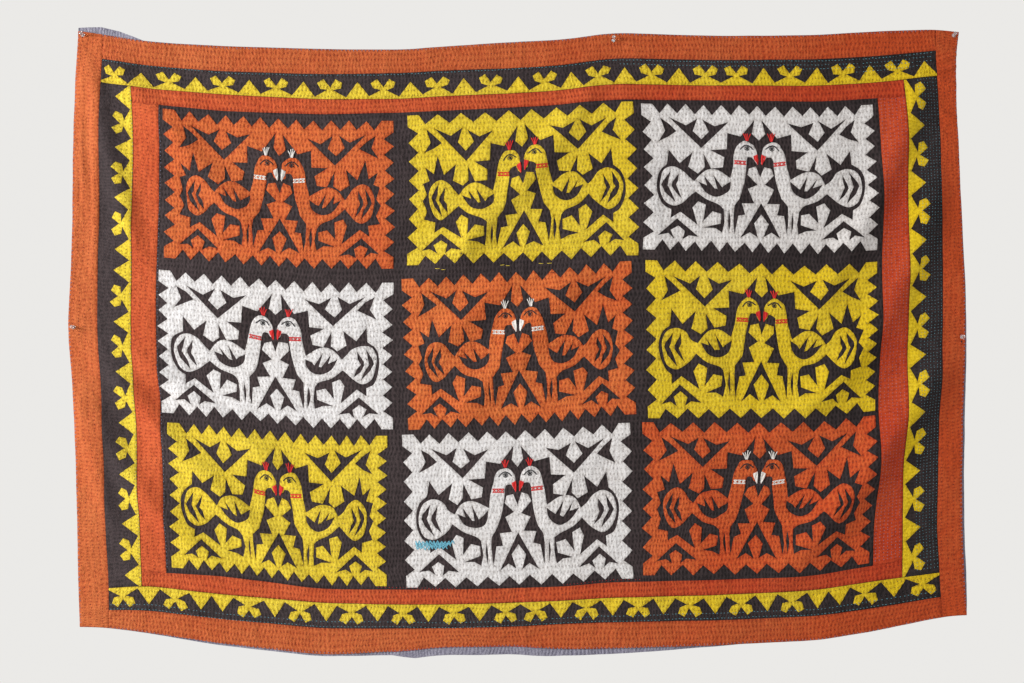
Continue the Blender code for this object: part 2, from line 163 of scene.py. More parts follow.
class Finish:
    """A material with one Principled shader."""

    def __init__(self, name):
        self.material = bpy.data.materials.new(name)
        self.material.use_nodes = True
        self.nodes = self.material.node_tree.nodes
        self.shader = self.nodes["Principled BSDF"]

    def node(self, kind, settings, inputs, output=0):
        """A node of this kind. Its settings are set first, then its sockets' values or links."""
        made = self.nodes.new("ShaderNode" + kind)
        for key, value in settings.items():
            setattr(made, key, value)
        for key, value in inputs.items():
            self.feed(made.inputs[key], value)
        return Wire(self, made.outputs[output])

    def feed(self, socket, value):
        if isinstance(value, Wire):
            self.material.node_tree.links.new(value.socket, socket)
        else:
            socket.default_value = value

    def set(self, **sockets):
        for name, value in sockets.items():
            self.feed(self.shader.inputs[name.replace("_", " ")], value)

    def mix(self, first, second, share):
        """One colour mixed into another by a share."""
        return self.node("Mix", {"data_type": "RGBA"}, {"Factor": share, 6: first, 7: second}, 2)


def dye(red, green, blue):
    """A colour as a dyer's card gives it, 0 to 255, in the linear light that shaders use."""
    parts = [c / 255 for c in (red, green, blue)]
    return (*[c / 12.92 if c < 0.04045 else ((c + 0.055) / 1.055) ** 2.4 for c in parts], 1)


print("finishes ready")

# %% [markdown]
# ## Cotton
#
# Every cloth here is a plain cotton weave. The pattern follows the cloth, so it reads the cloth's own UV
# map, which is laid out in metres on the flat cover. The colour is slow fading over a hand's breadth,
# blotches the size of a thumb and random grime, with painted light on top: painted shade in the puckers'
# dents and along each cut edge and a painted highlight on the rib crests, both from the attributes "relief"
# and "rim", and a painted sheen of the window that leaves every cloth paler towards the left. The threads
# themselves are half a millimetre, far too fine to model, and are a bump, and so are the crinkles that
# washing leaves between the stitches.

# %% Cotton finish
THREADS_PER_METRE = 2100
WEAVE_SHARE, CRINKLE_DEEP = 0.007, 0.008  # the weave's share of the bump, and the bump in metres


def cotton(name, colour, faded_and_lit, dark, patchy=0.5, dent_shade=0.6, crest=0.35, window_sheen=0.8, rough=0.9):
    """Plain woven cotton of one dye: its colour, the pale tone that fading, the painted highlights and the
    painted window sheen mix in, and the dark tone of its painted shade and grime.
    """
    f = Finish(name)
    place = f.node("UVMap", {"uv_map": "flat"}, {})
    slow = f.node("TexNoise", {}, {"Vector": place, "Scale": 5.5, "Detail": 3.0, "Roughness": 0.6})
    thumb = f.node("TexNoise", {}, {"Vector": place, "Scale": 48.0, "Detail": 4.0, "Roughness": 0.65})
    nub = f.node("TexNoise", {}, {"Vector": place, "Scale": 165.0, "Detail": 3.0, "Roughness": 0.7})
    speck = f.node("TexNoise", {}, {"Vector": place, "Scale": 520.0, "Detail": 2.0})
    relief = f.node("Attribute", {"attribute_name": "relief"}, {}, "Fac")
    rim = f.node("Attribute", {"attribute_name": "rim"}, {}, "Fac")
    axes = f.node("SeparateXYZ", {}, {"Vector": place})
    # Painted sheen of the window light: every cloth is mixed paler towards the left, where the window
    # stands.
    painted_window_sheen = (0.56 - axes * axes * 0.2) * window_sheen
    patches = (slow - 0.5) * (1.8 * patchy) + (thumb - 0.5) * (1.3 * patchy)
    # The pale tone is mixed in by random patches, by a painted highlight on the rib crests and by the
    # painted window sheen.
    fade_and_highlight = (patches + relief * crest + painted_window_sheen).limited()
    grime = (0.5 - speck) * 0.9 + (0.5 - nub) * 1.5 + (0.45 - thumb) * patchy
    # Painted shade: darker in the dents between the ribs and within 6 mm of each cut edge, on top of random
    # grime.
    shade = ((1 - relief) * dent_shade + grime + (1 - rim) * 0.3).limited()
    tone = f.mix(colour, faded_and_lit, fade_and_highlight)
    f.set(Base_Color=f.mix(tone, dark, shade), Roughness=rough + (thumb - 0.5) * 0.12)
    along = (axes * (THREADS_PER_METRE * 2 * pi)).sine()
    over = (Wire(f, axes.socket.node.outputs[1]) * (THREADS_PER_METRE * 2 * pi)).sine()
    weave = along * over * 0.5 + speck * 0.8
    crinkle = thumb * 0.7 + nub * 0.3
    height = weave * WEAVE_SHARE + crinkle
    f.set(Normal=f.node("Bump", {}, {"Height": height, "Strength": 1.0, "Distance": CRINKLE_DEEP}))
    f.shader.inputs["Specular IOR Level"].default_value = 0.22
    f.shader.inputs["Sheen Weight"].default_value = 0.06
    f.shader.inputs["Sheen Roughness"].default_value = 0.5
    return f.material


# Each cotton: its colour, the pale tone of its fading, painted highlights and painted sheen, the dark tone
# of its painted shade and grime, then its patchiness, painted dent shade and painted crest highlight.
COTTONS = {
    "orange": cotton("outer orange cotton", dye(190, 74, 30), dye(204, 112, 62), dye(126, 38, 16)),
    "red": cotton("inner red cotton", dye(186, 62, 28), dye(212, 102, 56), dye(122, 28, 12)),
    "dark": cotton("black cotton", dye(38, 31, 31), dye(70, 59, 60), dye(15, 12, 13), 0.7, 0.6, 0.55),
    "yellow": cotton("yellow cotton", dye(228, 194, 22), dye(238, 214, 70), dye(140, 106, 14), 0.5, 0.5),
    "white": cotton("white cotton", dye(224, 220, 217), dye(240, 239, 240), dye(138, 128, 122), 0.45, 0.42),
    "middle orange": cotton("middle orange cotton", dye(210, 86, 38), dye(230, 134, 70), dye(130, 40, 16)),
    "panel orange": cotton("panel orange cotton", dye(204, 78, 34), dye(224, 122, 64), dye(126, 34, 16)),
    "backing": cotton("backing cotton", dye(144, 142, 160), dye(168, 166, 180), dye(92, 88, 108)),
}
print("cottons", list(COTTONS))

# %% [markdown]
# ## How the cover hangs
#
# Every cloth is drawn flat, in millimetres across and down from the cover's top left corner, because that
# is how it was cut. Two tables then say where each seam hangs on the wall. Between two seams a point keeps
# its share of the way, and the tables are smoothed so that no seam has a corner.

# %% Seams, flat and hung
MM = 0.001
WIDTH, HEIGHT = 2102, 1430
SEAMS_ACROSS = np.array([0, 62, 142, 202, 1908, 1968, 2048, WIDTH], dtype=float)
SEAMS_DOWN = np.array([0, 56, 118, 153, 1278, 1313, 1371, HEIGHT], dtype=float)
HUNG_SEAMS_DOWN = (
    # x,   top edge, orange/dark, dark/red, red/ground, ground/red, red/dark, dark/orange, bottom edge
    (-1045, 27, -30, -89, -129, -1248, -1293, -1343, -1384),
    (-980, 17, -41, -98, -137, -1250, -1293, -1344, -1384),
    (-880, 0, -56, -111, -147, -1253, -1285, -1344, -1396),
    (-700, -11, -70, -125, -164, -1263, -1306, -1365, -1423),
    (-460, -18, -77, -137, -172, -1294, -1326, -1387, -1449),
    (-270, -19, -74, -136, -168, -1295, -1330, -1387, -1440),
    (-180, -12, -68, -130, -164, -1294, -1329, -1386, -1430),
    (0, 0, -62, -122, -155, -1291, -1325, -1382, -1428),
    (100, 4, -56, -116, -150, -1288, -1321, -1377, -1436),
    (226, 21, -38, -100, -137, -1277, -1313, -1372, -1434),
    (450, 14, -43, -104, -138, -1273, -1308, -1368, -1427),
    (700, 15, -42, -105, -142, -1263, -1297, -1359, -1416),
    (850, 24, -34, -97, -134, -1238, -1275, -1339, -1393),
    (1000, 29, -20, -81, -122, -1213, -1255, -1314, -1362),
    (1050, 21, -18, -77, -120, -1205, -1251, -1309, -1356),
)
HUNG_SEAMS_ACROSS = (
    # z, left edge, orange/dark, dark/red, red/ground, ground/red, red/dark, dark/orange, right edge
    (28, -1037, -980, -915, -851, 848, 908, 990, 1048),
    (-18, -1040, -980, -913, -849, 849, 909, 990, 1038),
    (-66, -1043, -981, -912, -848, 850, 910, 990, 1037),
    (-130, -1046, -984, -910, -846, 852, 917, 996, 1038),
    (-230, -1050, -988, -907, -845, 860, 924, 1002, 1044),
    (-400, -1051, -987, -909, -847, 867, 924, 1004, 1052),
    (-540, -1055, -992, -911, -853, 862, 926, 1007, 1057),
    (-640, -1061, -993, -913, -854, 863, 924, 1007, 1060),
    (-674, -1063, -994, -913, -854, 862, 924, 1007, 1061),
    (-760, -1056, -986, -908, -850, 857, 922, 1004, 1059),
    (-860, -1047, -981, -900, -842, 853, 922, 998, 1055),
    (-1000, -1044, -975, -898, -838, 857, 912, 995, 1052),
    (-1150, -1040, -973, -891, -833, 843, 911, 993, 1053),
    (-1290, -1037, -965, -886, -827, 842, 911, 1002, 1061),
    (-1380, -1034, -965, -886, -826, 844, 915, 1009, 1066),
)
SMOOTHING_STEP, SMOOTHING_COUNT = 10, 6  # mm, and steps to each side


def smooth_seams(table):
    """The table's seams as soft curves: their stations, and one row of places for each seam."""
    rows = np.array(sorted(table), dtype=float)
    stations = np.arange(rows[0, 0] - 90, rows[-1, 0] + 91, SMOOTHING_STEP)
    weights = np.hanning(2 * SMOOTHING_COUNT + 3)[1:-1]
    curves = []
    for seam in rows[:, 1:].T:
        straight = np.interp(stations, rows[:, 0], seam)
        padded = np.pad(straight, SMOOTHING_COUNT, mode="reflect", reflect_type="odd")
        curves.append(np.convolve(padded, weights / weights.sum(), "valid"))
    return stations, np.array(curves)


PLACES, SEAM_HEIGHTS = smooth_seams(HUNG_SEAMS_DOWN)
HEIGHTS, SEAM_PLACES = smooth_seams(HUNG_SEAMS_ACROSS)


def between_seams(flat, seams, hung_seams):
    """Each flat measure's share of the way between its two seams, carried over to the hung seams."""
    cell = np.clip(np.searchsorted(seams, flat, "right") - 1, 0, len(seams) - 2)
    share = (flat - seams[cell]) / (seams[cell + 1] - seams[cell])
    each = np.arange(len(flat))
    return hung_seams[cell, each] * (1 - share) + hung_seams[cell + 1, each] * share


def hung(across, down):
    """x and z, in mm, of flat points."""
    x = across - WIDTH / 2
    for _ in range(5):
        z = between_seams(down, SEAMS_DOWN, np.array([np.interp(x, PLACES, s) for s in SEAM_HEIGHTS]))
        x = between_seams(across, SEAMS_ACROSS, np.array([np.interp(z, HEIGHTS, s) for s in SEAM_PLACES]))
    return x, z


middle = np.array([WIDTH / 2]), np.array([HEIGHT / 2])
print("middle of the cover hangs at", [round(float(c[0])) for c in hung(*middle)])

# %% [markdown]
# ## Folds, and the unevenness of hand work
#
# Cloth that hangs from its corners swags: long soft ridges run from each pin towards the middle. Each is
# one row of a table, a bowed line with a half-width and a height. Between them the layers lie unevenly,
# which a smooth random field gives. A field made of cubic splines has no creases of its own.

# %% Folds
FOLDS = (
    # from across, down, to across, down, bow downwards, half-width, height off the wall
    (2025, 50, 1729, 671, 30, 44, 13),
    (2048, 290, 1626, 965, 93, 50, 14),
    (2080, 759, 1677, 1279, 21, 58, 20),
    (24, 28, 160, 529, 6, 34, 10),
    (53, 12, 449, 466, 0, 42, 9),
    (24, 708, 553, 1285, 20, 40, 12),
    (68, 692, 640, 1132, 0, 38, 9),
    (17, 803, 377, 1276, 67, 38, 10),
    (7, 828, 86, 1181, 9, 30, 9),
    (1276, 59, 805, 579, 20, 42, 11),
    (1057, 522, 822, 731, 5, 38, 7),
    (1221, 510, 864, 916, 10, 52, 10),
    (1300, 59, 1416, 621, 10, 38, 4),
    (1435, 551, 1534, 857, 6, 30, 4),
    (980, 180, 905, 560, 12, 34, 5),
    (2040, 84, 2106, 68, 2, 5, 4),
    (2038, 106, 2106, 96, 3, 6, 5),
    (2044, 128, 2104, 140, -3, 5, 4),
    (2046, 196, 2104, 214, 4, 8, 4),
    (16, 60, 34, 420, 6, 9, 3),
    (44, 150, 52, 600, -5, 10, 3),
)
FOLD_PINCH = 0.8  # a ridge's half-width, as a share of the table's, once the cloth has settled
CREASE_ACROSS, CREASE_HALF, CREASE_HEIGHT = 1065, 6.0, 1.4  # where the cover lay folded in two
FOLD_RISE, FOLD_END, FOLD_FALL = 0.2, 1.1, 0.3  # shares of a fold's length: rising, its end, dying out
WALL_STAND_OFF, BELLY, BELLY_ARCH = 2.5, 7.0, 0.62  # mm, and the share of an arch that the height takes up
WAVES, WAVE_LEVEL = ((1.9, 120, 3), (1.5, 45, 4)), 1.2  # high, across and seed, and what they swing about


def soft_field(across, down, size, seed):
    """A smooth random height, about -1 to 1, over the flat cover. Its bumps are about one size across."""
    net = np.random.default_rng(seed).uniform(-2.2, 2.2, (int(2400 / size) + 6, int(1700 / size) + 6))
    a, b = (across + 100) / size, (down + 100) / size
    i, j = np.floor(a).astype(int), np.floor(b).astype(int)
    height = 0
    for di, wa in enumerate(spline_weights(a - i)):
        for dj, wb in enumerate(spline_weights(b - j)):
            height = height + net[i + di, j + dj] * wa * wb
    return height


def spline_weights(t):
    return (1 - t) ** 3 / 6, (3 * t**3 - 6 * t**2 + 4) / 6, (-3 * t**3 + 3 * t**2 + 3 * t + 1) / 6, t**3 / 6


def off_the_wall(across, down):
    """How far the backing's back is off the wall, in mm."""
    a, d = np.clip(across, 0, WIDTH), np.clip(down, 0, HEIGHT)
    arch = np.sin(pi * np.minimum(d / HEIGHT * BELLY_ARCH, 1))
    lift = WALL_STAND_OFF + BELLY * np.sin(pi * a / WIDTH) * arch
    for from_across, from_down, to_across, to_down, bow, half_width, height in FOLDS:
        run, fall = to_across - from_across, to_down - from_down
        length = hypot(run, fall)
        along = ((a - from_across) * run + (d - from_down) * fall) / length**2
        side = 1 if run > 0 else -1
        off = ((d - from_down) * run - (a - from_across) * fall) * side / length
        off = off - bow * 4 * along * (1 - along)
        ends = np.clip(along / FOLD_RISE, 0, 1) * np.clip((FOLD_END - along) / FOLD_FALL, 0, 1)
        ends = ends * ends * (3 - 2 * ends)
        lift = lift + height * ends * np.exp(-((off / (FOLD_PINCH * half_width)) ** 2))
    lift = lift + CREASE_HEIGHT * np.exp(-(((a - CREASE_ACROSS) / CREASE_HALF) ** 2))
    for high, size, seed in WAVES:
        lift = lift + high * soft_field(a, d, size, seed)
    return lift + WAVE_LEVEL


print("lift at the middle, mm", round(float(off_the_wall(*middle)[0]), 1))

# %% [markdown]
# ## Quilting
#
# Running stitches go through all the layers in rows a thumb's width apart. Each stitch pulls the cloth in,
# and the cloth between stands up, so rows that lie side by side make long ribs across the rows. The stitch
# number along a row and the row number are two smooth fields here, p and q. A stitch lies where both are
# whole. The sheets get their points at halves of p and q, so each rib's crest and each dent has a point.

# %% Rows and stitches
ROW, PITCH, DENT = 12.6, 8.6, 1.15  # mm between rows, from stitch to stitch, and deep
CREST_WANDER, ROW_WANDER = 0.55, 0.3  # in stitches and in rows
CRUMPLE = 0.55  # mm
BETWEEN_ROWS = 0.62  # how far the cloth stands up again between two dents of neighbouring rows
UPRIGHT_SHARE = 0.6  # rows that run up and down were pulled less tight
TIGHTNESS = ((0.4, 90, 5), (0.7, 26, 6))  # how much it varies, how far across, and the field's seed


def wandering(across, down, rows_down):
    """How far the stitch number and the row number stray from an even count."""
    seed = 20 if rows_down else 10

    def field(size, number, run=across, fall=down):
        return soft_field(run, fall, size, seed + number)

    stretched = (across, 0.25 * down) if rows_down else (0.25 * across, down)
    along = CREST_WANDER * (field(60, 0) + field(210, 1))
    along = along + 0.3 * field(23, 3) + 0.42 * field(13, 5, *stretched)
    return along, ROW_WANDER * field(110, 2) + 0.14 * field(34, 4)


def stitch_and_row(across, down, rows_down):
    p_stray, q_stray = wandering(across, down, rows_down)
    along, over = (down, across) if rows_down else (across, down)
    return along / PITCH + p_stray, over / ROW + q_stray


def from_stitch_and_row(p, q, rows_down):
    """The flat points of these stitch and row numbers."""
    along, over = p * PITCH, q * ROW
    for _ in range(5):
        across, down = (over, along) if rows_down else (along, over)
        p_stray, q_stray = wandering(across, down, rows_down)
        along, over = (p - p_stray) * PITCH, (q - q_stray) * ROW
    return (over, along) if rows_down else (along, over)


def rib(across, down, rows_down):
    """0 in a stitch's dent, 1 on a rib."""
    p, q = stitch_and_row(across, down, rows_down)
    crest = 0.5 - 0.5 * np.cos(2 * pi * p)
    between = 0.5 - 0.5 * np.cos(2 * pi * q)
    return crest + (1 - crest) * BETWEEN_ROWS * between


def lay(across, down, proud, rows_down):
    """World places of flat points, proud mm in front of the backing's back, pulled in by the quilting."""
    x, z = hung(across, down)
    tightness = 1
    for share, size, seed in TIGHTNESS:
        tightness = tightness + share * soft_field(across, down, size, seed)
    deep = DENT * np.clip(tightness, 0.4, 1.5)
    if rows_down:
        deep = deep * UPRIGHT_SHARE
    pull = deep * (rib(across, down, rows_down) - 1) + CRUMPLE * soft_field(across, down, 17, 7)
    y = -(off_the_wall(across, down) + proud + pull)
    return np.column_stack((x, y, z)) * MM


print("rows of stitches across the ground", round((SEAMS_DOWN[4] - SEAMS_DOWN[3]) / ROW))

# %% [markdown]
# ## Making one cloth
#
# A cloth is an outline, perhaps with openings. Its points are the outline's own, walked in short steps, a
# second line just inside, where the turned edge stops rolling over, and the quilting's points in between.
# A constrained Delaunay triangulation joins them and keeps every cut edge exact. The triangles in the
# openings are dropped. Then each point is laid on the hung cover.

# %% Outlines
STEP, ROLL_INSET, CLEAR_OF_EDGE = 2.6, 1.2, 2.7


def walk(loop, step):
    """A closed outline in steps no longer than this."""
    points = []
    for start, end in zip(loop, np.roll(loop, -1, axis=0)):
        count = max(1, ceil(hypot(*(end - start)) / step))
        points += [start + (end - start) * k / count for k in range(count)]
    return np.array(points)


def inside(points, loops):
    """True for points that an odd number of the outlines' edges lies to one side of."""
    odd = np.zeros(len(points), dtype=bool)
    a, d = points[:, 0], points[:, 1]
    for loop in loops:
        for (a1, d1), (a2, d2) in zip(loop, np.roll(loop, -1, axis=0)):
            if d1 != d2:
                crosses = (d1 > d) != (d2 > d)
                odd ^= crosses & (a < (a2 - a1) * (d - d1) / (d2 - d1) + a1)
    return odd


def nearest_edge(points, loops):
    """How far each point is from the outlines, in mm."""
    edge = np.concatenate([walk(loop, 1.2) for loop in loops])
    tree = KDTree(len(edge))
    for number, (a, d) in enumerate(edge):
        tree.insert((a, d, 0), number)
    tree.balance()
    return np.array([tree.find((a, d, 0))[2] for a, d in points])


def inset_line(loop, loops):
    """Points a little inside a walked outline, left out in sharp tips."""
    way = np.roll(loop, -1, axis=0) - np.roll(loop, 1, axis=0)
    way /= np.maximum(np.hypot(way[:, 0], way[:, 1]), 0.001)[:, None]
    normal = np.column_stack((-way[:, 1], way[:, 0])) * ROLL_INSET
    both = np.concatenate((loop + normal, loop - normal))
    return both[inside(both, loops)]


def quilting_points(loops, rows_down, density):
    """The quilting's points inside an outline: halves of p and q, or wholes at density 1."""
    low, high = loops[0].min(axis=0), loops[0].max(axis=0)
    spans = [(low[k] - 30, high[k] + 30) for k in ((1, 0) if rows_down else (0, 1))]
    p = np.arange(ceil(spans[0][0] / PITCH), spans[0][1] / PITCH, 1 / density[0])
    q = np.arange(ceil(spans[1][0] / ROW), spans[1][1] / ROW, 1 / density[1])
    p, q = (g.ravel() for g in np.meshgrid(p, q))
    points = np.column_stack(from_stitch_and_row(p, q, rows_down))
    near = np.all((points > low + 1) & (points < high - 1), axis=1)
    points = points[near]
    return points[inside(points, loops)]


print("steps along an edge, mm", STEP)

# %% Cloth
def triangulate(loops, inner):
    """Flat points and triangles of a cloth with these outlines and inner points."""
    points, edges = [], []
    for loop in loops:
        walked = walk(loop, STEP)
        first = len(points)
        points += list(walked)
        edges += [(first + k, first + (k + 1) % len(walked)) for k in range(len(walked))]
    points += list(inner)
    made = delaunay_2d_cdt([Vector(p) for p in points], edges, [], 0, 0.001)
    flat = np.array([tuple(p) for p in made[0]])
    faces = np.array([face for face in made[2] if len(face) == 3])
    middles = flat[faces].mean(axis=1)
    return flat, faces[inside(middles, loops)]


def surface(name, places, faces, flat, finish, numbers, towards=1):
    """A smooth mesh that faces the room, or the wall at towards -1, with a flat UV map and these numbers."""
    used = np.unique(faces)
    renumber = np.zeros(len(places), dtype=int)
    renumber[used] = np.arange(len(used))
    places, faces, flat = places[used], renumber[faces], flat[used]
    first, second, third = (places[faces[:, k]] for k in range(3))
    backwards = np.cross(second - first, third - first)[:, 1] * towards > 0
    faces = np.where(backwards[:, None], faces[:, ::-1], faces)
    mesh = bpy.data.meshes.new(name)
    mesh.from_pydata(places.tolist(), [], faces.tolist())
    mesh.shade_smooth()
    corners = np.empty(len(mesh.loops), dtype=np.int32)
    mesh.loops.foreach_get("vertex_index", corners)
    places_on_map = (flat[corners] * MM).ravel().astype(np.float32)
    mesh.uv_layers.new(name="flat").data.foreach_set("uv", places_on_map)
    for key, values in numbers.items():
        layer = mesh.attributes.new(key, "FLOAT", "POINT")
        layer.data.foreach_set("value", values[used].astype(np.float32))
    thing = bpy.data.objects.new(name, mesh)
    bpy.context.scene.collection.objects.link(thing)
    mesh.materials.append(finish)
    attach(thing, "root")
    return thing


def cloth(name, loops, proud, roll, finish, rows_down=False, density=(2, 2)):
    """A cloth with these flat outlines, its edges rolled down by roll mm."""
    loops = [np.array(loop, dtype=float) for loop in loops]
    inner = quilting_points(loops, rows_down, density)
    inner = inner[nearest_edge(inner, loops) > CLEAR_OF_EDGE]
    inset = np.concatenate([inset_line(walk(loop, STEP), loops) for loop in loops])
    inset = inset[nearest_edge(inset, loops) > ROLL_INSET * 0.8]
    flat, faces = triangulate(loops, np.concatenate((inner, inset)))
    edge = nearest_edge(flat, loops)
    over = np.clip(edge / ROLL_INSET, 0, 1)
    rolled = proud - roll * (1 - np.sqrt(1 - (1 - over) ** 2))
    across, down = flat.T
    relief = 1 - (1 - rib(across, down, rows_down)) * (UPRIGHT_SHARE if rows_down else 1)
    # relief carries the painted shade in the dents and the painted highlight on the crests, rim the painted
    # shade along each cut edge.
    numbers = {"relief": relief, "rim": np.clip(edge / 6, 0, 1)}
    return surface(name, lay(across, down, rolled, rows_down), faces, flat, COTTONS[finish], numbers)


def measured(piece):
    """Prints what a piece came out as."""
    print(piece.name, len(piece.data.polygons), "faces")

# %% [markdown]
# ## The backing and the front's plain strips
#
# The backing is one large cloth, cut a little unevenly, so it shows past the front along the bottom and at
# the top left. The strips of the front are laid on it edge to edge. Strips that stand upright are quilted
# up and down, and those that lie are quilted across, so each is told which way its rows run.

# %% Backing
BACKING_REACH_TOP = ((0, 8), (58, 17), (110, 14), (146, 8), (170, 1))
BACKING_REACH_BOTTOM = (
    (150, 2),
    (290, 5),
    (620, 5),
    (745, 10),
    (800, 24),
    (955, 27),
    (1080, 24),
    (1160, 16),
    (1380, 10),
    (1500, 4),
    (1580, 1),
)
BACKING_REACH_RIGHT = ((420, 1), (720, 3), (960, 5), (1320, 5), (1400, 2))
BACKING_PROUD, FRONT_PROUD, APPLIQUE_PROUD = 0.2, 3.2, 4.1

backing_outline = [(0, -BACKING_REACH_TOP[0][1])]
backing_outline += [(across, -reach) for across, reach in BACKING_REACH_TOP[1:]]
backing_outline += [(WIDTH, -1)]
backing_outline += [(WIDTH + reach, down) for down, reach in BACKING_REACH_RIGHT]
backing_outline += [(WIDTH, HEIGHT + 1)]
backing_outline += [(across, HEIGHT + reach) for across, reach in reversed(BACKING_REACH_BOTTOM)]
backing_outline += [(0, HEIGHT + 1)]
backing = cloth("backing_sheet", [backing_outline], BACKING_PROUD, 0, "backing", density=(2, 1))
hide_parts("backing")
measured(backing)

# %% Strips
A, D = SEAMS_ACROSS, SEAMS_DOWN
STRIPS = (
    # node, left, top, right, bottom, finish, slot, rows run down
    ("orange_strip_left", A[0], D[0], A[1], D[7], "orange", "orange_cloth", True),
    ("orange_strip_right", A[6], D[0], A[7], D[7], "orange", "orange_cloth", True),
    ("orange_strip_top", A[1], D[0], A[6], D[1], "orange", "orange_cloth", False),
    ("orange_strip_bottom", A[1], D[6], A[6], D[7], "orange", "orange_cloth", False),
    ("dark_strip_top", A[1], D[1], A[6], D[2], "dark", "dark_cloth", False),
    ("dark_strip_bottom", A[1], D[5], A[6], D[6], "dark", "dark_cloth", False),
    ("dark_strip_left", A[1], D[2], A[2], D[5], "dark", "dark_cloth", True),
    ("dark_strip_right", A[5], D[2], A[6], D[5], "dark", "dark_cloth", True),
    ("red_strip_top", A[2], D[2], A[5], D[3], "red", "red_cloth", False),
    ("red_strip_bottom", A[2], D[4], A[5], D[5], "red", "red_cloth", False),
    ("red_strip_left", A[2], D[3], A[3], D[4], "red", "red_cloth", True),
    ("red_strip_right", A[4], D[3], A[5], D[4], "red", "red_cloth", True),
    ("ground", A[3], D[3], A[4], D[4], "dark", "dark_cloth", False),
)
SEAM_ROLL = 1.2
for node, left, top, right, bottom, finish, slot, rows_down in STRIPS:
    outline = [(left, top), (right, top), (right, bottom), (left, bottom)]
    piece = cloth(node + "_sheet", [outline], FRONT_PROUD, SEAM_ROLL, finish, rows_down)
    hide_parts(node)
    measured(piece)

# %% [markdown]
# ## The yellow teeth
#
# The dark strip's applique is one long yellow strip a side, snipped with scissors into triangles and
# palmettes of two leaves that point outwards, and hemmed down. Its outline is worked out motif by motif:
# each takes a share of the strip's length, and a small random stray stands for the hand that cut it.

# %% Toothed strips
TOOTH_ORDER = {
    "top": "PTPTPTPTPTPTPTPTPTPTPTPPTPTPTPT",
    "bottom": "PTPTTPTPTPTPTPTPPTPTPTPTPTPTTPTP",
    "left": "TPTPTPTTPTPTPTPTPTPT",
    "right": "PTPTPTPTPTPTPTPTP",
}
APPLIQUE_BAND = 6
TRIANGLE = ((-0.5, 0), (0, 35), (0.5, 0))
PALMETTE = (
    (-0.5, 0),
    (-0.09, 16),
    (-0.33, 20),
    (-0.4, 34),
    (-0.2, 43),
    (0, 24),
    (0.2, 43),
    (0.4, 34),
    (0.33, 20),
    (0.09, 16),
    (0.5, 0),
)
MOTIF_WIDTHS = {"T": 0.86, "P": 1.16}
HAND_WANDER = 1.6
EDGE_GAP = 0.6


def wander(points, rng):
    """Points moved a little, as scissors do."""
    stray = HAND_WANDER
    return [(a + rng.uniform(-stray, stray), b + rng.uniform(-stray, stray)) for a, b in points]


def toothed_edge(order, length, rng):
    """Points along a toothed edge: distance along it, and height above the band."""
    pitch = length / sum(MOTIF_WIDTHS[kind] for kind in order)
    at, points = 0.0, [(0.0, 0.0)]
    for kind in order:
        width = pitch * MOTIF_WIDTHS[kind]
        shape = TRIANGLE if kind == "T" else PALMETTE
        motif = [(at + width * (0.5 + across), height) for across, height in shape[1:]]
        points += wander(motif, rng)
        at += width
    return points[:-1] + [(length, 0.0)]


def border_applique(side, rng):
    """The outline of one yellow strip, kept within its dark strip."""
    lying = side in ("top", "bottom")
    inner = {"top": D[2], "bottom": D[5], "left": A[2], "right": A[5]}[side]
    outer = {"top": D[1], "bottom": D[6], "left": A[1], "right": A[6]}[side]
    start, end = (A[1], A[6]) if lying else (D[2], D[5])
    outwards = 1 if outer > inner else -1
    teeth = toothed_edge(TOOTH_ORDER[side], end - start, rng)
    outline = [(start + at, inner + outwards * (APPLIQUE_BAND + height)) for at, height in teeth]
    outline += [(end, inner), (start, inner)]
    low, high = min(inner, outer) + EDGE_GAP, max(inner, outer) - EDGE_GAP
    kept = [(min(max(a, start + EDGE_GAP), end - EDGE_GAP), min(max(b, low), high)) for a, b in outline]
    return kept if lying else [(b, a) for a, b in kept]


def cut_sheet(piece):
    """Prints what a cloth that was cut to a shape came out as."""
    measured(piece)


scissors = random.Random(7)
tooth_outlines = []
APPLIQUE_ROLL = 0.65
for side in ("top", "bottom", "left", "right"):
    outline = border_applique(side, scissors)
    rows_down = side in ("left", "right")
    piece = cloth(f"applique_{side}_sheet", [outline], APPLIQUE_PROUD, APPLIQUE_ROLL, "yellow", rows_down)
    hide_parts(f"applique_strip_{side}")
    tooth_outlines.append(np.array(outline))
    cut_sheet(piece)

# %% [markdown]
# ## The cut-work panels
#
# A panel is one piece of cotton, folded and snipped like a paper pattern, then opened out and hemmed onto
# the ground, which shows black through every opening. Because it was folded down the middle, only half a
# pattern is drawn: two birds face each other over a stepped post, with leaves, chevrons and kites around
# them. Lengths are in millimetres out from the middle line and down from the top. A third number, 1, marks
# a point that the scissors go round instead of turning at.

# %% Half a pattern
HALF_WIDTH, TALL = 273, 355
ABOVE_BIRD = (
    # from the outer foot's leaf up past the back and over the head to the middle line
    (106, 301),
    (131, 299),
    (94, 287),
    (93, 265),
    (114, 259),
    (134, 283),
    (130, 243),
    (149, 235),
    (161, 252),
    (148, 293),
    (189, 262),
    (212, 277),
)
PLAIN_TAIL_EDGE = (
    (211, 256),
    (229, 244, 1),
    (242, 215, 1),
    (243, 184, 1),
    (235, 161, 1),
    (216, 145),
    (212, 110),
)
SPIKED_TAIL_EDGE = (
    (211, 252),
    (237, 246),
    (229, 226),
    (239, 203),
    (230, 188),
    (238, 160),
    (222, 154),
    (233, 124),
    (212, 140),
    (203, 96),
)
OVER_BIRD = (
    (188, 142),
    (158, 116),
    (167, 153),
    (144, 167),
    (129, 153),
    (131, 120),
    (113, 157),
    (87, 153),
    (83, 131),
    (114, 111),
    (78, 110),
    (76, 69),
    (42, 79),
    (9, 36),
    (15, 71),
    (0, 88),
)
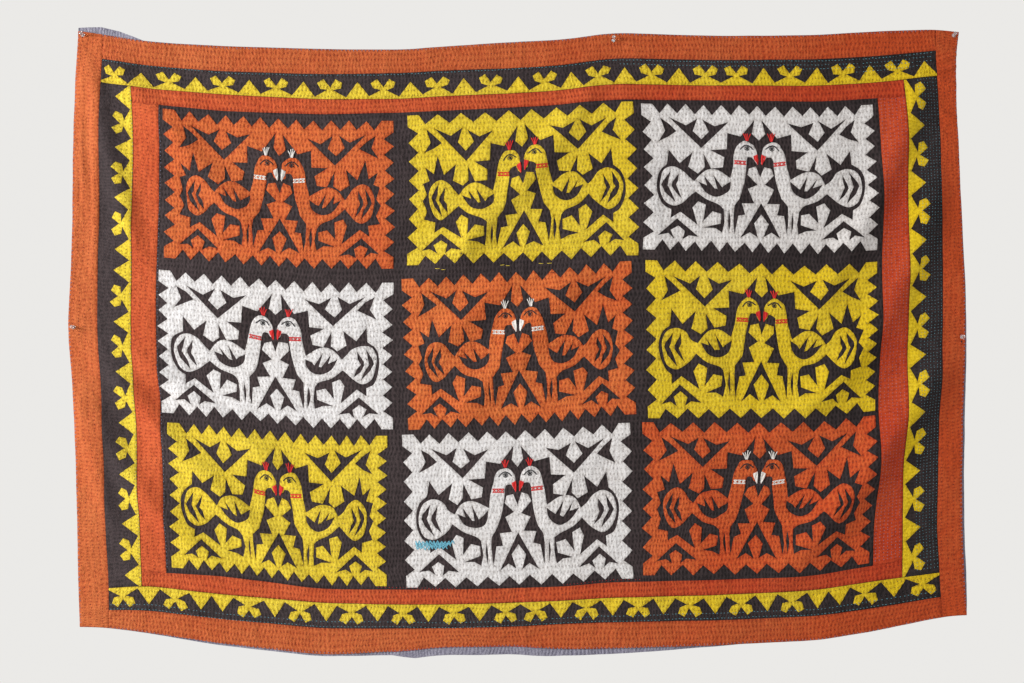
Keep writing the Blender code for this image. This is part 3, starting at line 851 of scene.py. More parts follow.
BIRD = (
    # up the outer leg, round the tail, over the back and head, down the breast to the inner foot
    (86, 285),
    (89, 254),
    (101, 243, 1),
    (131, 231, 1),
    (155, 212),
    (165, 222, 1),
    (184, 238, 1),
    (205, 246, 1),
    (225, 234, 1),
    (236, 207, 1),
    (236, 183, 1),
    (225, 161, 1),
    (203, 152, 1),
    (181, 161, 1),
    (165, 178, 1),
    (153, 188),
    (138, 168, 1),
    (119, 159, 1),
    (98, 162, 1),
    (71, 180),
    (64, 150, 1),
    (59, 122, 1),
    (54, 106, 1),
    (45, 94, 1),
    (33, 89, 1),
    (20, 93, 1),
    (10, 103, 1),
    (6, 116, 1),
    (6, 127),
    (4, 146),
    (12, 138),
    (16, 129),
    (27, 130, 1),
    (32, 138),
    (32, 150),
    (37, 184, 1),
    (42, 207, 1),
    (48, 226),
    (62, 245),
    (64, 264),
    (64, 290),
    (61, 312),
)
POST = (
    (53, 269),
    (37, 267),
    (44, 240),
    (15, 239),
    (30, 206),
    (8, 195),
    (31, 172),
    (26, 156),
    (9, 151),
    (0, 177),
)
OUTER_FOOT = ((89, 310),)
OPENINGS = (
    # boomerang
    ((229, 35), (209, 49), (191, 67), (212, 79), (236, 90), (219, 65)),
    # forked channel round a kite
    (
        (208, 34),
        (169, 51),
        (142, 34),
        (155, 64),
        (136, 85),
        (115, 66),
        (129, 37),
        (100, 53),
        (68, 43),
        (134, 106),
    ),
    # slit between the legs
    ((75, 257), (72.0, 282, 1), (73, 308), (78.0, 282, 1)),
    # wing: a crescent with feathers that lean back
    (
        (145, 188),
        (128, 213, 1),
        (104, 224, 1),
        (84, 218, 1),
        (72, 205, 1),
        (70, 187),
        (85, 197),
        (92, 202),
        (110, 171),
        (101, 206),
        (109, 205),
        (131, 176),
        (124, 196),
    ),
    # corner chevron
    (
        (194, 279),
        (144, 322),
        (168, 317),
        (183, 328),
        (178, 308),
        (194, 296),
        (210, 307),
        (203, 327),
        (218, 317),
        (239, 321),
    ),
)
TAIL_CHEVRONS = (
    ((210, 162), (228, 187), (231, 197), (223, 214), (200, 237), (208, 216), (219, 197), (215, 187)),
    ((191, 168), (206, 191), (207, 200), (198, 216), (183, 230), (190, 210), (198, 199), (193, 187)),
)
CENTRE_CHEVRON = ((0, 238), (47, 321), (25, 308), (6, 320), (17, 287), (0, 267))
TAIL_ROOT, TAIL_TUCK = 158, 0.83
HAND_STRAY, CURVE_STEP = 1.1, 5.0


def tucked(points):
    """Points past the tail's root drawn in, to leave room for a ring of spikes."""
    return [(min(x, TAIL_ROOT + (x - TAIL_ROOT) * TAIL_TUCK), y, *mark) for x, y, *mark in points]


def snipped(points, rng, closed=True):
    """A cut line through these points, each strayed a little, round where it is marked so."""
    marks = [len(point) == 3 for point in points]
    points = [Vector((x + rng.gauss(0, HAND_STRAY), y + rng.gauss(0, HAND_STRAY))) for x, y, *_ in points]
    count, line = len(points), []
    for k in range(count if closed else count - 1):
        start, end = points[k], points[(k + 1) % count]
        before, after = points[k - 1], points[(k + 2) % count]
        leave = (end - before) / 2 if marks[k] else end - start
        arrive = (after - start) / 2 if marks[(k + 1) % count] else end - start
        bent = marks[k] or marks[(k + 1) % count]
        steps = max(1, ceil((end - start).length / CURVE_STEP)) if bent else 1
        for step in range(steps):
            t = step / steps
            curve = start * (2 * t**3 - 3 * t**2 + 1) + leave * (t**3 - 2 * t**2 + t)
            line.append(curve + end * (3 * t**2 - 2 * t**3) + arrive * (t**3 - t**2))
    return line if closed else line + [points[-1]]


print("points in half a pattern", len(ABOVE_BIRD + PLAIN_TAIL_EDGE + OVER_BIRD + BIRD + POST))

# %% [markdown]
# ## From half a pattern to nine panels
#
# Each panel has its own four corners and its own count of teeth, because no two were cut alike. The two
# halves stray on their own, one bird may stand a little higher, and some tails are cut smaller, to leave
# room for a ring of spikes.

# %% Panels
PANELS = (
    # node, finish, corners, teeth along the top, right, bottom and left
    ("panel_1_orange", "panel orange", (212, 161), (756, 172), (759, 521), (219, 519), (11, 7, 11, 7)),
    ("panel_2_yellow", "yellow", (790, 161), (1326, 158), (1334, 517), (791, 514), (8, 6, 10, 6)),
    ("panel_3_white", "white", (1345, 162), (1895, 168), (1895, 519), (1344, 503), (11, 7, 12, 6)),
    ("panel_4_white", "white", (208, 549), (761, 554), (753, 900), (205, 892), (11, 7, 11, 7)),
    ("panel_5_orange", "middle orange", (779, 546), (1318, 530), (1332, 887), (790, 902), (11, 7, 12, 7)),
    ("panel_6_yellow", "yellow", (1351, 528), (1896, 547), (1900, 905), (1360, 897), (9, 8, 9, 6)),
    ("panel_7_yellow", "yellow", (218, 915), (739, 915), (733, 1270), (216, 1264), (12, 8, 12, 7)),
    ("panel_8_white", "white", (774, 913), (1316, 907), (1328, 1270), (781, 1273), (10, 6, 9, 6)),
    ("panel_9_orange", "panel orange", (1345, 906), (1900, 916), (1898, 1270), (1352, 1263), (9, 7, 9, 6)),
)
PANEL_HABITS = (
    # left bird lower by, right bird lower by, left tail spiked, right tail spiked, heads and post higher by
    (0, 2, True, True, -3),
    (9, -6, True, False, 2),
    (0, 0, False, False, 4),
    (3, 0, False, False, -2),
    (2, 0, True, True, 8),
    (-2, 0, False, True, 14),
    (5, 3, False, True, -6),
    (0, -3, False, False, 7),
    (0, 0, True, True, 3),
)
PAD, FIRST_NOTCH, NOTCH_DEPTH = 27, 43, 23
LIFT_REACH = 110  # mm from the middle line, where a panel's lift has faded to a third


def panel_side(start, end, teeth, rng):
    """Half a corner pad, the notches and teeth, and half a pad, along one side of a panel."""
    start, end = Vector(start), Vector(end)
    way = (end - start).normalized()
    inwards = Vector((-way.y, way.x))
    length = (end - start).length
    pitch = (length - 2 * FIRST_NOTCH) / teeth
    inner = []
    for tooth in range(teeth):
        inner.append((FIRST_NOTCH + pitch * tooth, NOTCH_DEPTH))
        inner.append((FIRST_NOTCH + pitch * (tooth + 0.5), 0))
    inner.append((length - FIRST_NOTCH, NOTCH_DEPTH))
    points = [(0, 0), (PAD, 0), *wander(inner, rng), (length - PAD, 0)]
    return [tuple(start + way * along + inwards * deep) for along, deep in points]


def on_panel(points, corners, side, sink=0, lift=0):
    """Flat places of pattern points: side is -1 for the left half and 1 for the right."""
    top_left, top_right, bottom_right, bottom_left = (Vector(c) for c in corners)
    placed = []
    for x, y in points:
        y = y + sink * sin(pi * min(max(x / HALF_WIDTH, 0), 1) ** 0.5) * sin(pi * y / TALL)
        y = y - lift * exp(-((x / LIFT_REACH) ** 2)) * sin(pi * min(max(y / TALL, 0), 1)) ** 0.8
        share, fall = 0.5 + side * x / (2 * HALF_WIDTH), y / TALL
        top, bottom = top_left.lerp(top_right, share), bottom_left.lerp(bottom_right, share)
        placed.append(tuple(top.lerp(bottom, fall)))
    return placed


def halo(corners, habits, number):
    """The opening round both birds: over their backs from foot to foot, then in round the post."""
    over, under = [], []
    for side, sink, spiked in zip((-1, 1), habits[:2], habits[2:4]):
        stray = random.Random(1000 + 10 * number + side)
        tail = SPIKED_TAIL_EDGE if spiked else PLAIN_TAIL_EDGE
        bird = tucked(BIRD) if spiked else list(BIRD)
        back = snipped(OUTER_FOOT + ABOVE_BIRD + tail + OVER_BIRD, stray, closed=False)
        front = snipped(list(OUTER_FOOT) + bird + list(POST), stray, closed=False)
        back[-1].x = front[-1].x = 0
        over.append(on_panel(back, corners, side, sink, habits[4]))
        under.append(on_panel(front, corners, side, sink, habits[4]))
    return over[0] + over[1][-2::-1] + under[1][1:] + under[0][-2:0:-1]


def panel_loops(number, rng):
    """The outline and all the openings of one panel."""
    _, _, *corners, teeth = PANELS[number]
    outline = []
    for side in range(4):
        outline += panel_side(corners[side], corners[(side + 1) % 4], teeth[side], rng)
    habits = PANEL_HABITS[number]
    loops = [outline, halo(corners, habits, number)]
    stray = random.Random(2000 + number)
    for side, sink, spiked in zip((-1, 1), habits[:2], habits[2:4]):
        for opening in OPENINGS:
            loops.append(on_panel(snipped(opening, stray), corners, side, sink, habits[4]))
        for chevron in TAIL_CHEVRONS:
            chevron = tucked(chevron) if spiked else chevron
            loops.append(on_panel(snipped(chevron, stray), corners, side, sink, habits[4]))
    chevron = [snipped(CENTRE_CHEVRON, stray, closed=False) for _ in range(2)]
    right, left = (on_panel(half, corners, side, 0, habits[4]) for half, side in zip(chevron, (1, -1)))
    loops.append(right + left[-2:0:-1])
    return loops


panel_outlines = []
for number, (node, finish, *corners, teeth) in enumerate(PANELS):
    loops = panel_loops(number, scissors)
    piece = cloth(node + "_sheet", loops, APPLIQUE_PROUD, APPLIQUE_ROLL, finish)
    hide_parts(node)
    finish.split()[-1] + "_cloth"
    panel_outlines.append(loops)
    cut_sheet(piece)

# %% [markdown]
# ## Running stitches
#
# Thousands of short stitches show on the front, each a few millimetres of thick thread that goes in at a
# dent. One stitch is eight small faces: a ridge with two sloping sides and two pointed ends, because from a
# step away that is all that a stitch shows. On the back four faces do. All the stitches of one thread are a
# single mesh, worked out in one go: their places come from the same rows that puckered the cloth.

# %% Thread finish
def thread(name, colour, dark):
    """Cotton thread: one dye, darker between its plies."""
    f = Finish(name)
    place = f.node("TexCoord", {}, {}, "Object")
    plies = f.node("TexNoise", {}, {"Vector": place, "Scale": 900.0, "Detail": 2.0})
    lots = f.node("TexNoise", {}, {"Vector": place, "Scale": 9.0, "Detail": 2.0})
    f.set(Base_Color=f.mix(colour, dark, (plies * 0.6 + lots * 0.6 - 0.3).limited()))
    f.set(Normal=f.node("Bump", {}, {"Height": plies, "Strength": 0.4, "Distance": 0.0002}))
    f.shader.inputs["Roughness"].default_value = 0.75
    return f.material


THREADS = {
    "brown": thread("brown thread", dye(104, 54, 38), dye(72, 36, 28)),
    "drab": thread("drab thread", dye(142, 122, 80), dye(102, 86, 60)),
    "pale grey": thread("pale grey thread", dye(152, 144, 146), dye(104, 94, 102)),
    "deep red": thread("deep red thread", dye(104, 30, 20), dye(72, 22, 18)),
    "teal": thread("teal thread", dye(94, 146, 158), dye(58, 102, 114)),
    "grey blue": thread("grey blue thread", dye(134, 134, 156), dye(98, 98, 122)),
    "charcoal": thread("charcoal thread", dye(58, 54, 58), dye(34, 32, 36)),
    "scarlet": thread("scarlet thread", dye(222, 34, 30), dye(168, 18, 20)),
    "white": thread("white thread", dye(236, 232, 226), dye(190, 184, 178)),
    "black": thread("black thread", dye(30, 27, 30), dye(16, 15, 18)),
    "sky blue": thread("sky blue thread", dye(120, 190, 210), dye(70, 150, 178)),
    "yellow": thread("yellow thread", dye(236, 210, 70), dye(190, 160, 30)),
}
print("threads", list(THREADS))

# %% One stitch, many times
STITCH = (
    # along, over, up, in half lengths, half widths and full heights
    (-1, 0, 0),
    (-0.55, -1, 0),
    (-0.55, 1, 0),
    (-0.5, 0, 1),
    (0.5, 0, 1),
    (0.55, -1, 0),
    (0.55, 1, 0),
    (1, 0, 0),
)
STITCH_FACES = ((0, 1, 3), (0, 3, 2), (1, 5, 4), (1, 4, 3), (3, 4, 6), (3, 6, 2), (5, 7, 4), (4, 7, 6))
BACK_STITCH = ((-1, 0, 0), (0, -1, 0), (0, 1, 0), (0, 0, 1), (1, 0, 0))
BACK_STITCH_FACES = ((0, 1, 3), (0, 3, 2), (1, 4, 3), (3, 4, 2))
THREAD_RISE, THREAD_SINK = 0.6, 0.05
SEWN_TURN, SEWN_STRAY, SEWN_LENGTHS = 0.13, 0.7, (1.7, 3.5)  # radians, mm, mm


def stitches(name, dye_lot, seats, angles, lengths, width, proud, rows_down, towards=1):
    """Stitches at flat places, each turned and of its own length, in one mesh. Towards -1 is the back."""
    shape, shape_faces = np.array(STITCH), np.array(STITCH_FACES)
    if towards < 0:
        shape, shape_faces = np.array(BACK_STITCH), np.array(BACK_STITCH_FACES)
    seats, angles = np.asarray(seats), np.asarray(angles)[:, None]
    along = shape[:, 0] * np.asarray(lengths)[:, None] / 2
    over = shape[:, 1] * width / 2
    across = seats[:, :1] + along * np.cos(angles) - over * np.sin(angles)
    down = seats[:, 1:] + along * np.sin(angles) + over * np.cos(angles)
    proud = np.broadcast_to(proud, len(seats))[:, None]
    height = proud + towards * (shape[:, 2] * (THREAD_RISE + THREAD_SINK) - THREAD_SINK)
    places = lay(across.ravel(), down.ravel(), height.ravel(), rows_down)
    faces = (shape_faces + len(shape) * np.arange(len(seats))[:, None, None]).reshape(-1, 3)
    flat = np.column_stack((across.ravel(), down.ravel()))
    piece = surface(name, places, faces, flat, THREADS[dye_lot], {}, towards)
    measured(piece)


def running(seats, rows_down, rng, missing=0.03):
    """Where each of a row's stitches really went: strayed seats, angles and lengths."""
    seats = seats[rng.random(len(seats)) > missing]
    count = len(seats)
    angles = rng.normal(0, SEWN_TURN, count) + (pi / 2 if rows_down else 0)
    return seats + rng.normal(0, SEWN_STRAY, (count, 2)), angles, rng.uniform(*SEWN_LENGTHS, count)


HEM_CLEAR = 1.5  # mm
needle = np.random.default_rng(11)
sewn_in = {"pale grey": [], "drab": [], "brown": []}
for (node, finish, *corners), loops in zip(PANELS, panel_outlines):
    loops = [np.array(loop) for loop in loops]
    seats = quilting_points(loops, False, (1, 1))
    seats = seats[nearest_edge(seats, loops) > HEM_CLEAR]
    dye_lot = {"white": "pale grey", "yellow": "drab"}.get(finish, "brown")
    sewn_in[dye_lot].append(running(seats, False, needle))
for dye_lot, found in sewn_in.items():
    seats, turns, lengths = (np.concatenate(part) for part in zip(*found))
    name = "panel_quilting_" + dye_lot.replace(" ", "_")
    stitches(name, dye_lot, seats, turns, lengths, 1.5, APPLIQUE_PROUD, False)

# %% [markdown]
# ## Quilting of the borders
#
# The strips are quilted in whatever thread was at hand: deep red on the orange and the red, and charcoal on
# the black. Where a strip carries yellow teeth, a stitch that goes through a tooth lies as proud as it.

# %% Border stitches
def border_proud(seats):
    """How proud a border's stitches lie: more where they go through the yellow teeth."""
    on_teeth = inside(seats, tooth_outlines)
    return np.where(on_teeth, APPLIQUE_PROUD, FRONT_PROUD)


SHOWN_STITCHES = (
    # name, thread, left, top, right, bottom, rows run down
    ("quilting_left_edge", "deep red", 3, 4, 59, 1426, True),
    ("quilting_right_edge", "deep red", 2051, 4, 2099, 1426, True),
    ("quilting_top_edge", "deep red", 66, 3, 2044, 53, False),
    ("quilting_bottom_edge", "deep red", 66, 1374, 2044, 1427, False),
    ("quilting_red_left", "deep red", 145, 157, 199, 1274, True),
    ("quilting_red_top", "deep red", 146, 121, 1964, 150, False),
    ("quilting_red_bottom", "deep red", 146, 1281, 1964, 1310, False),
    ("quilting_dark_left", "charcoal", 66, 122, 138, 1309, True),
    ("quilting_dark_top", "charcoal", 66, 60, 2044, 114, False),
    ("quilting_dark_bottom", "charcoal", 66, 1317, 2044, 1368, False),
)
for name, dye_lot, left, top, right, bottom, rows_down in SHOWN_STITCHES:
    patch = [np.array([(left, top), (right, top), (right, bottom), (left, bottom)], dtype=float)]
    seats, turns, lengths = running(quilting_points(patch, rows_down, (1, 1)), rows_down, needle)
    stitches(name, dye_lot, seats, turns, lengths, 1.4, border_proud(seats), rows_down)

# %% [markdown]
# ## The back
#
# Where a thread is not on the front it is on the back, so the back shows the same rows half a stitch along.
# They are laid like the front's, but towards the wall. Two meshes share them, upper and lower, to keep each
# one small.

# %% Back stitches
back_stitch = np.random.default_rng(12)
for half, (top, bottom) in {"upper": (5, 715), "lower": (717, 1425)}.items():
    patch = [np.array([(5, top), (2097, top), (2097, bottom), (5, bottom)], dtype=float)]
    between = quilting_points(patch, False, (1, 1)) + (PITCH / 2, 0)
    seats, turns, lengths = running(between, False, back_stitch, 0.1)
    inwards = seats[:, 0] < 2097
    seats, turns, lengths = seats[inwards], turns[inwards], lengths[inwards]
    stitches(f"quilting_back_{half}", "grey blue", seats, turns, lengths, 1.3, BACKING_PROUD, False, -1)

# %% [markdown]
# ## Embroidery
#
# The birds' crests, eyes, brows, collars and beaks are worked in thick thread after the panel is sewn down.
# A line of thread is a low ridge of three points across, which follows the cloth. A filled shape, such as a
# beak, is worked in satin stitch: lines of thread laid side by side.

# %% Lines of thread
def walk_along(points, step):
    """An open line in steps no longer than this."""
    walked = []
    for start, end in zip(points[:-1], points[1:]):
        start, end = Vector(start), Vector(end)
        count = max(1, ceil((end - start).length / step))
        walked += [start.lerp(end, k / count) for k in range(count)]
    return walked + [Vector(points[-1])]


class Skein:
    """All the lines of one thread, collected and then made into one mesh."""

    def __init__(self, dye_lot):
        self.dye_lot, self.flat, self.rise, self.faces = dye_lot, [], [], []

    def line(self, points, width=1.3, rise=1.1):
        points = [Vector(p) for p in walk_along(points, 2.0)]
        first = len(self.flat)
        for k, point in enumerate(points):
            way = points[min(k + 1, len(points) - 1)] - points[max(k - 1, 0)]
            out = Vector((-way.y, way.x)).normalized() * width / 2
            tip = 0.35 if k in (0, len(points) - 1) else 1.0
            self.flat += [point - out * tip, point, point + out * tip]
            self.rise += [rise * 0.3, rise * tip, rise * 0.3]
        for k in range(first, len(self.flat) - 3, 3):
            for side in (0, 1):
                a = k + side
                self.faces += [(a, a + 1, a + 4), (a, a + 4, a + 3)]

    def made(self, name, proud):
        flat = np.array([tuple(p) for p in self.flat])
        places = lay(*flat.T, proud + np.array(self.rise), False)
        piece = surface(name, places, np.array(self.faces), flat, THREADS[self.dye_lot], {})
        measured(piece)


def ring(centre, radius, count=17):
    """Points all round a circle, the last on the first."""
    angles = [radians(360 * k / (count - 1)) for k in range(count)]
    return [(centre[0] + radius * cos(a), centre[1] + radius * sin(a)) for a in angles]


print("skeins ready")

# %% Faces of the birds
skeins = {dye_lot: Skein(dye_lot) for dye_lot in ("scarlet", "white", "black")}
EYE, EYE_RING, PUPIL = (29, 107), 5.0, 3.0
PUPIL_LINES = (-2.0, -0.7, 0.7, 2.0)
CREST_LEANS = (-25, -8, 9, 25)  # degrees
COLLAR_TALL, COLLAR_CROSSES, BEAK_LINES = 7.5, 3, 6


def dress_bird(corners, side, sink, lift, accent, rng):
    """Crest, eye, brow, collar and beak of one bird."""

    def sewn(dye_lot, points, width=1.6):
        skeins[dye_lot].line(on_panel(points, corners, side, sink, lift), width)

    root = Vector((30 + rng.uniform(-2, 2), 89))
    for lean in CREST_LEANS:
        lean = radians(lean + rng.uniform(-4, 4))
        tip = root + Vector((sin(lean), -cos(lean))) * rng.uniform(18, 23)
        sewn(accent, [root + Vector((sin(lean) * 4, 0)), root.lerp(tip, 0.5), tip], 2.2)
    for level in PUPIL_LINES:
        sewn("black", [(EYE[0] - PUPIL, EYE[1] + level), (EYE[0] + PUPIL, EYE[1] + level)], 2.4)
    sewn("black", ring(EYE, EYE_RING), 1.6)
    tilt = rng.uniform(-2, 2)
    brow = [(-15, 3 + tilt), (-10, -2.5), (-4, -6.5), (1, -8), (7, -6.5), (12, -2), (17, 3.5 - tilt)]
    sewn("black", [(EYE[0] + x, EYE[1] + y) for x, y in brow], 2.7)
    outer, inner = Vector((60.5, 137)), Vector((32, 140))
    inner.y += rng.uniform(-2, 2)
    low = Vector((0, COLLAR_TALL))
    for level in (0, 1):
        sewn(accent, [outer + low * level, outer.lerp(inner, 0.5) + low * level, inner + low * level], 2.3)
    for k in range(COLLAR_CROSSES):
        start, end = outer.lerp(inner, k / COLLAR_CROSSES), outer.lerp(inner, (k + 1) / COLLAR_CROSSES)
        sewn(accent, [start, end + low], 1.7)
        sewn(accent, [start + low, end], 1.7)
    up = 3 if accent == "white" else 0
    for k in range(BEAK_LINES):
        share = k / (BEAK_LINES - 1)
        start = Vector((5.5 + 8.5 * share, 121 - up + 4 * share))
        end = Vector((4.5 + 2.5 * share, 147 - 7 * abs(share - 0.2)))
        belly = start.lerp(end, 0.5) + Vector(((share - 0.4) * 2.0, 0))
        sewn(accent, [start, belly, end], 2.1)


embroiderer = random.Random(23)
for number, (node, finish, *corners, teeth) in enumerate(PANELS):
    accent = "white" if finish.endswith("orange") else "scarlet"
    *sinks, _, _, lift = PANEL_HABITS[number]
    for side, sink in zip((-1, 1), sinks):
        dress_bird(corners, side, sink, lift, accent, embroiderer)
for dye_lot, skein in skeins.items():
    skein.made(f"embroidery_{dye_lot}", APPLIQUE_PROUD)

# %% [markdown]
# ## Odd threads
#
# Some sewing shows on its own: small slanting whip stitches that close the outer edge, single rows beside
# the seams, close upright rows of teal and grey blue at the right, a few stray ends, and a patch of sky-blue
# zigzags on one white panel. The rows are lines that are walked at a stitch's spacing. The zigzags and the
# ends are lines of thread, and so are a turned rim and a black mark below the right pin, which is a painted
# shadow of that pin.

# %% Rows beside the seams
ROWS_BY_SEAMS = (
    # thread, from across, down, to across, down, spacing, stitch length, slant
    ("grey blue", 2.2, 6, 2.2, 1424, 9.5, 4.2, 0.9),
    ("grey blue", 2099.8, 6, 2099.8, 1424, 9.5, 4.2, 0.9),
    ("grey blue", 66, 2.2, 2040, 2.2, 9.5, 4.2, 0.9),
    ("grey blue", 66, 1427.8, 2040, 1427.8, 9.5, 4.2, 0.9),
    ("teal", 66, 59.5, 2044, 59.5, 8.0, 4.4, 0.1),
    ("teal", 1300, 69, 2044, 69, 8.2, 4.0, 0.1),
    ("teal", 1700, 78, 2044, 78, 8.2, 4.0, 0.1),
    ("teal", 1860, 88, 2044, 88, 8.2, 4.0, 0.1),
    ("teal", 66, 1367.5, 2044, 1367.5, 8.4, 4.2, 0.1),
    ("teal", 66, 1356, 2044, 1356, 9.0, 4.2, 0.1),
    ("grey blue", 204.5, 160, 204.5, 1272, 8.8, 2.6, 0.2),
    ("grey blue", 139, 122, 139, 1309, 9.0, 2.4, 0.2),
    ("scarlet", 712, 1273.5, 905, 1274.5, 8.6, 2.0, 0.0),
    ("scarlet", 1150, 1274, 1352, 1273, 8.6, 2.0, 0.0),
)
TEAL_ROWS = [("teal", at, 122, at, 1309, 7.4, 2.3, 0.0) for at in 2000 + 7.4 * np.arange(7)]
GREY_ROWS = [("grey blue", at, 157, at, 1274, 7.6, 2.1, 0.0) for at in 1913 + 8.2 * np.arange(7)]
single_rows = (*ROWS_BY_SEAMS, *TEAL_ROWS, *GREY_ROWS)
seams = {"teal": [], "grey blue": [], "scarlet": []}
for dye_lot, across, down, to_across, to_down, spacing, length, slant in single_rows:
    count = int(hypot(to_across - across, to_down - down) / spacing)
    share = (np.arange(count) + needle.uniform(-0.15, 0.15, count)) / count
    seats = np.column_stack((across + (to_across - across) * share, down + (to_down - down) * share))
    upright = to_across == across
    angles = np.full(count, pi / 2 if upright else 0.0) + slant + needle.normal(0, 0.12, count)
    sway = 1.6 * soft_field(seats[:, 0], seats[:, 1], 80, 9) * (across > 10) * (across < 2090)
    seats[:, 0 if upright else 1] += sway
    seats += needle.normal(0, 0.35, (count, 2))
    seams[dye_lot].append((seats, angles, length * needle.uniform(0.75, 1.1, count)))
for dye_lot, rows in seams.items():
    seats, angles, lengths = (np.concatenate(part) for part in zip(*rows))
    name = "seam_rows_" + dye_lot.replace(" ", "_")
    stitches(name, dye_lot, seats, angles, lengths, 1.5, border_proud(seats), True)

# %% Zigzags, strays and the red rim
odd = random.Random(31)
blue = Skein("sky blue")
for row, top in enumerate((1164, 1169, 1175)):
    corners = [(806 + 4.4 * k, top + 8 * (k % 2)) for k in range(22 - 2 * row)]
    blue.line([(a + odd.uniform(-1, 1), d + odd.uniform(-1.5, 1.5)) for a, d in corners], 2.6)
blue.made("zigzag_patch", APPLIQUE_PROUD)
strays = Skein("yellow")
for across, down in ((858, 524), (872, 527), (1010, 522), (1024, 523), (1100, 521), (1120, 522)):
    strays.line([(across, down), (across + odd.uniform(8, 13), down + odd.uniform(-1.5, 1.5))], 1.2)
strays.made("stray_ends_yellow", FRONT_PROUD)
# A short black mark just below the right pin, painted in as the pin's shadow.
pin_shadow = Skein("black")
pin_shadow.line([(2092.5, 760), (2093, 763), (2093.5, 767)], 2.4, 0.3)
pin_shadow.made("old_pin_hole", FRONT_PROUD)
rim = Skein("scarlet")
rim.line([(across, 1429.4) for across in range(745, 1101, 5)], 2.6, 0.2)
rim.made("turned_red_rim", FRONT_PROUD - 0.9)

# %% [markdown]
# ## Push pins
#
# Five clear plastic push pins hold the cover. A grip is turned from a circle that is extruded ring by ring:
# a flange, a waist for two fingers and a domed head with the small mark that its mould left. One is
# made, and four copies with their own meshes are turned to lean as the real ones do. The steel points are
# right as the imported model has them, so they only get a finish.

# %% Clear plastic and steel
clear = Finish("clear plastic")
place = clear.node("TexCoord", {}, {}, "Object")
scuffs = clear.node("TexNoise", {}, {"Vector": place, "Scale": 1400.0, "Detail": 3.0})
clear.set(Roughness=0.04 + scuffs * 0.12)
clear.shader.inputs["Base Color"].default_value = dye(244, 246, 247)
clear.shader.inputs["Transmission Weight"].default_value = 0.85
clear.shader.inputs["IOR"].default_value = 1.49

steel = Finish("bright steel")
place = steel.node("TexCoord", {}, {}, "Object")
drawn = steel.node("TexNoise", {}, {"Vector": place, "Scale": 2600.0, "Detail": 2.0})
steel.set(Base_Color=steel.mix(dye(176, 178, 182), dye(132, 134, 140), drawn), Roughness=0.18 + drawn * 0.2)
steel.shader.inputs["Metallic"].default_value = 1.0
print("finishes", clear.material.name, steel.material.name)

# %% One grip
GRIP_RINGS = (
    # radius, distance from the flange's face, mm
    (4.9, 0.0),
    (5.2, 0.3),
    (5.2, 0.9),
    (5.0, 1.3),
    (3.5, 2.1),
    (2.9, 2.9),
    (2.6, 4.8),
    (2.75, 6.8),
    (3.5, 8.4),
    (4.2, 9.6),
    (4.4, 10.8),
    (4.2, 11.8),
    (3.6, 12.4),
    (2.2, 12.6),
    (1.0, 12.6),
    (0.8, 12.35),
)


def turned_grip():
    """A grip standing on the origin, made from a circle that is extruded and scaled ring by ring."""
    bpy.ops.object.select_all(action="DESELECT")
    (radius, height), *rings = GRIP_RINGS
    bpy.ops.mesh.primitive_circle_add(vertices=40, radius=radius * MM, fill_type="NGON", location=(0, 0, 0))
    grip = bpy.context.object
    bpy.ops.object.mode_set(mode="EDIT")
    bpy.ops.mesh.select_mode(type="FACE")
    bpy.ops.mesh.select_all(action="SELECT")
    for next_radius, next_height in rings:
        rise = (0, 0, (next_height - height) * MM)
        bpy.ops.mesh.extrude_region_move(TRANSFORM_OT_translate={"value": rise})
        share = next_radius / radius
        bpy.ops.transform.resize(value=(share, share, 1), center_override=(0, 0, next_height * MM))
        radius, height = next_radius, next_height
    bpy.ops.mesh.select_all(action="SELECT")
    bpy.ops.mesh.normals_make_consistent(inside=False)
    bpy.ops.object.mode_set(mode="OBJECT")
    bpy.ops.object.shade_smooth_by_angle(angle=radians(40))
    return grip


grip = turned_grip()
print("grip faces", len(grip.data.polygons), "height, mm", round(grip.dimensions.z / MM, 2))

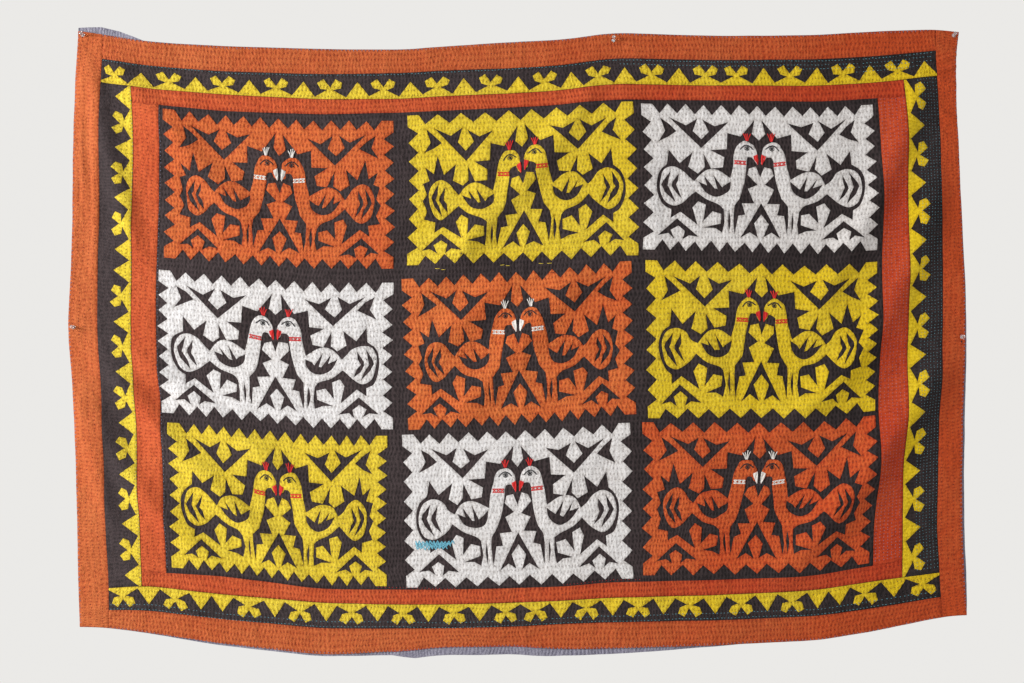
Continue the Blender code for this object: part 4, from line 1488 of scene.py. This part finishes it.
# %% Five pins
PIN_LEANS = {
    # degrees up, and to the right
    "top_left": (14, -4),
    "top_middle": (38, 3),
    "top_right": (16, 6),
    "left": (6, -5),
    "right": (5, 5),
}
for place, (up, right) in PIN_LEANS.items():
    node = f"push_pin_{place}_grip"
    piece = bpy.data.objects.new(node + "_clear", grip.data.copy())
    bpy.context.scene.collection.objects.link(piece)
    piece.data.transform(Euler((radians(90 - up), 0, radians(right))).to_matrix().to_4x4())
    corners = [v.co for v in piece.data.vertices]
    low, high = (Vector(pick(c[k] for c in corners) for k in range(3)) for pick in (min, max))
    cad_low, cad_high = (Vector(c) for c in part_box(node))
    shift = (cad_low + cad_high - low - high) / 2
    for vertex in piece.data.vertices:
        vertex.co += shift
    piece.data.materials.append(clear.material)
    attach(piece, "root")
    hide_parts(node)
    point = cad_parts[f"push_pin_{place}_needle"]
    for slot in point.material_slots:
        slot.material = steel.material
    print(piece.name, "shifted, mm", [round(c / MM, 1) for c in shift])
bpy.data.objects.remove(grip)

# %% [markdown]
# ## The floor
#
# The floor is plain and pale, well below the cover, which hangs at eye height. It is a finite disc, because
# from straight ahead nothing but the backdrop should show behind the cover.

# %% Floor
FLOOR_RADIUS, FLOOR_BELOW = 4.2, 2.6  # metres
painted = Finish("pale floor paint")
place = painted.node("TexCoord", {}, {}, "Object")
cloud = painted.node("TexNoise", {}, {"Vector": place, "Scale": 1.5, "Detail": 3.0})
painted.set(Base_Color=painted.mix(dye(206, 204, 200), dye(198, 196, 192), cloud))
painted.shader.inputs["Roughness"].default_value = 0.8
painted.shader.inputs["Emission Color"].default_value = (1, 0.99, 0.97, 1)
painted.shader.inputs["Emission Strength"].default_value = 0.1
bpy.ops.object.select_all(action="DESELECT")
bpy.ops.mesh.primitive_circle_add(vertices=96, radius=FLOOR_RADIUS, fill_type="NGON", location=(0, 0, 0))
floor = bpy.context.object
floor.name = "floor"
for vertex in floor.data.vertices:
    vertex.co.z -= FLOOR_BELOW
floor.data.materials.append(painted.material)
floor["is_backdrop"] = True
print("floor at", floor.data.vertices[0].co.z)

# %% [markdown]
# ## Size
#
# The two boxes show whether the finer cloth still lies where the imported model's cloth does. Its front
# stands a few millimetres further out, because small folds and pleats were added.

# %% Size, and the end
new_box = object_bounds()
added = [o for o in bpy.data.objects if o.type == "MESH" and o.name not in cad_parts]
print("triangles added", sum(len(p.vertices) - 2 for o in added for p in o.data.polygons))
for when, box in (("before", cad_box), ("after", new_box)):
    print("box", when, "in mm", [round(c / MM) for corner in box for c in corner])
